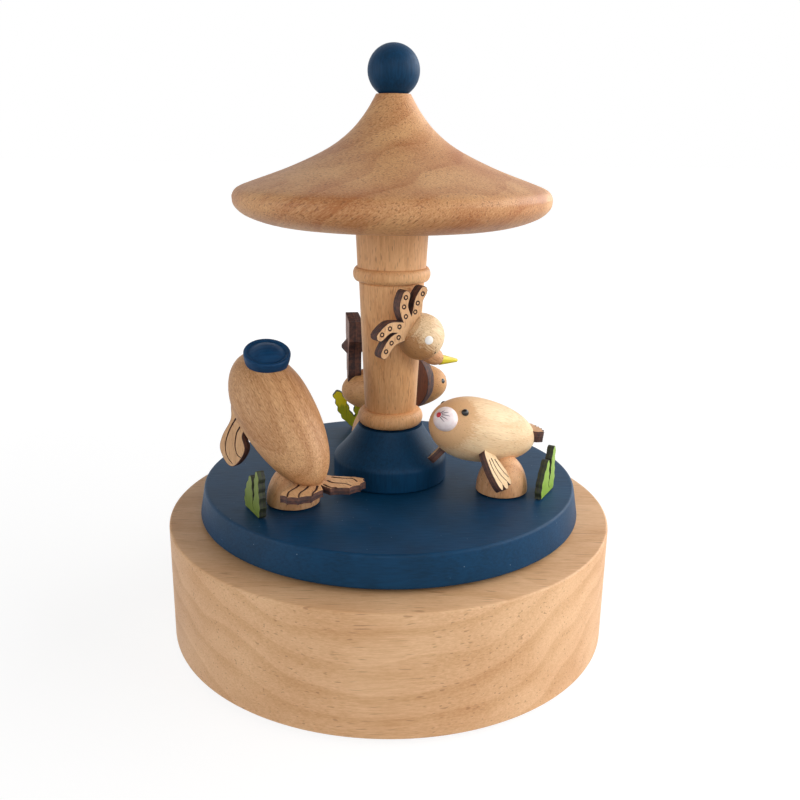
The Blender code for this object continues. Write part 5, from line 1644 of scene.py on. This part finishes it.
@dataclass
class Studio(Assembly):
    """The photograph's camera, soft lamps, a pale floor and a white background."""

    camera_mm: Spot = (0.0, -233.165, 90.541)
    pitch: float = 16.502
    yaw: float = 0.638
    roll: float = 0.767
    lens: float = 40.33
    sensor: float = 36.0
    near_clip: float = 0.005
    floor_size: float = 8.0
    floor_tone: str = "#e4e4e4"
    floor_soft: float = 0.22
    near_floor: Point = (0.1, 0.86)  # how far from the middle, and how much it glows up to there
    far_floor: Point = (0.6, 1.0)
    sky: float = 0.2
    zenith: float = 0.06
    zenith_rise: float = 0.6
    lamps: tuple[Lamp, ...] = (
        Lamp("right", (0.56, 0.06, 0.33), (1.20, 0.42), 6.6),
        Lamp("left", (-0.58, -0.20, 0.16), (0.40, 0.40), 1.2),
        Lamp("front", (0.02, -0.70, 0.42), (0.60, 0.50), 1.85),
    )

    def build(self) -> None:
        """Builds the camera, lamps, world and floor."""
        self.build_camera()
        for lamp in self.lamps:
            lamp.hang()
        self.build_world()
        self.build_floor()
        bpy.context.scene.view_settings.view_transform = "Standard"

    def build_camera(self) -> None:
        """Sets the camera where the photograph was taken from."""
        pitch, yaw, roll = (math.radians(angle) for angle in (self.pitch, self.yaw, self.roll))
        ahead = Vector((math.sin(yaw) * math.cos(pitch), math.cos(yaw) * math.cos(pitch), -math.sin(pitch)))
        right = ahead.cross(Vector((0, 0, 1))).normalized()
        up = right.cross(ahead)
        across = right * math.cos(roll) + up * math.sin(roll)
        upward = up * math.cos(roll) - right * math.sin(roll)
        data = bpy.data.cameras.new("camera")
        data.lens = self.lens
        data.sensor_width = self.sensor
        data.clip_start = self.near_clip
        camera = linked("camera", data)
        turn = Matrix((across, upward, -ahead)).transposed().to_4x4()
        camera.matrix_world = self.on_top(self.camera_mm) @ turn
        bpy.context.scene.camera = camera

    def build_world(self) -> None:
        """Sets an even sky that shows as white and lights the box dimly."""
        world = bpy.data.worlds.new("studio")
        bpy.context.scene.world = world
        world.use_nodes = True
        tree = world.node_tree
        tree.nodes.clear()
        way = add(tree, "SeparateXYZ", {}, {0: add(tree, "TexCoord", {}, {}).outputs["Generated"]})
        dome = add(tree, "MapRange", {}, {
            "Value": way.outputs["Z"], "From Min": 0.0, "From Max": self.zenith_rise,
            "To Min": self.sky, "To Max": self.zenith})
        strength = add(tree, "Mix", {}, {0: showing(tree), 2: dome, 3: 1.0})
        glow = add(tree, "Background", {}, {"Color": (1, 1, 1, 1), "Strength": strength})
        add(tree, "OutputWorld", {}, {"Surface": glow})

    def build_floor(self) -> None:
        """Lays the pale floor, which keeps the object's soft shadow."""
        shape = bmesh.new()
        bmesh.ops.create_grid(shape, x_segments=1, y_segments=1, size=self.floor_size / 2)
        mesh = bpy.data.meshes.new("floor")
        shape.to_mesh(mesh)
        shape.free()
        floor = linked("floor", mesh)
        material = bpy.data.materials.new("studio floor")
        material.use_nodes = True
        tree = material.node_tree
        tree.nodes.clear()
        matt = add(tree, "BsdfDiffuse", {}, {"Color": linear(self.floor_tone)})
        soft = add(tree, "BsdfDiffuse", {}, {"Color": (*[self.floor_soft] * 3, 1)})
        place = add(tree, "TexCoord", {}, {}).outputs["Object"]
        away = add(tree, "VectorMath", LENGTH, {0: place}).outputs["Value"]
        level = add(tree, "MapRange", SMOOTH, {
            "Value": away, "From Min": self.near_floor[0], "From Max": self.far_floor[0],
            "To Min": self.near_floor[1], "To Max": self.far_floor[1]})
        glow = add(tree, "Emission", {}, {"Color": (1, 1, 1, 1), "Strength": level})
        shown = add(tree, "AddShader", {}, {0: soft, 1: glow})
        surface = add(tree, "MixShader", {}, {0: showing(tree), 1: matt, 2: shown})
        add(tree, "OutputMaterial", {}, {"Surface": surface})
        mesh.materials.append(material)


def main() -> None:
    """Builds the whole scene."""
    logging.basicConfig(level=logging.INFO, format="%(name)s %(message)s")
    shared = (Workshop(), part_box("turntable")[1].z / MM)
    Studio(*shared).build()
    Drum(*shared).build()
    Movement(*shared).dress(frame["nodes"])
    for assembly in (Turntable, Tower, LargeSeal, SmallSeal, Whale, Octopus, Seaweed):
        assembly(*shared).build()


if __name__ == "__main__":
    main()
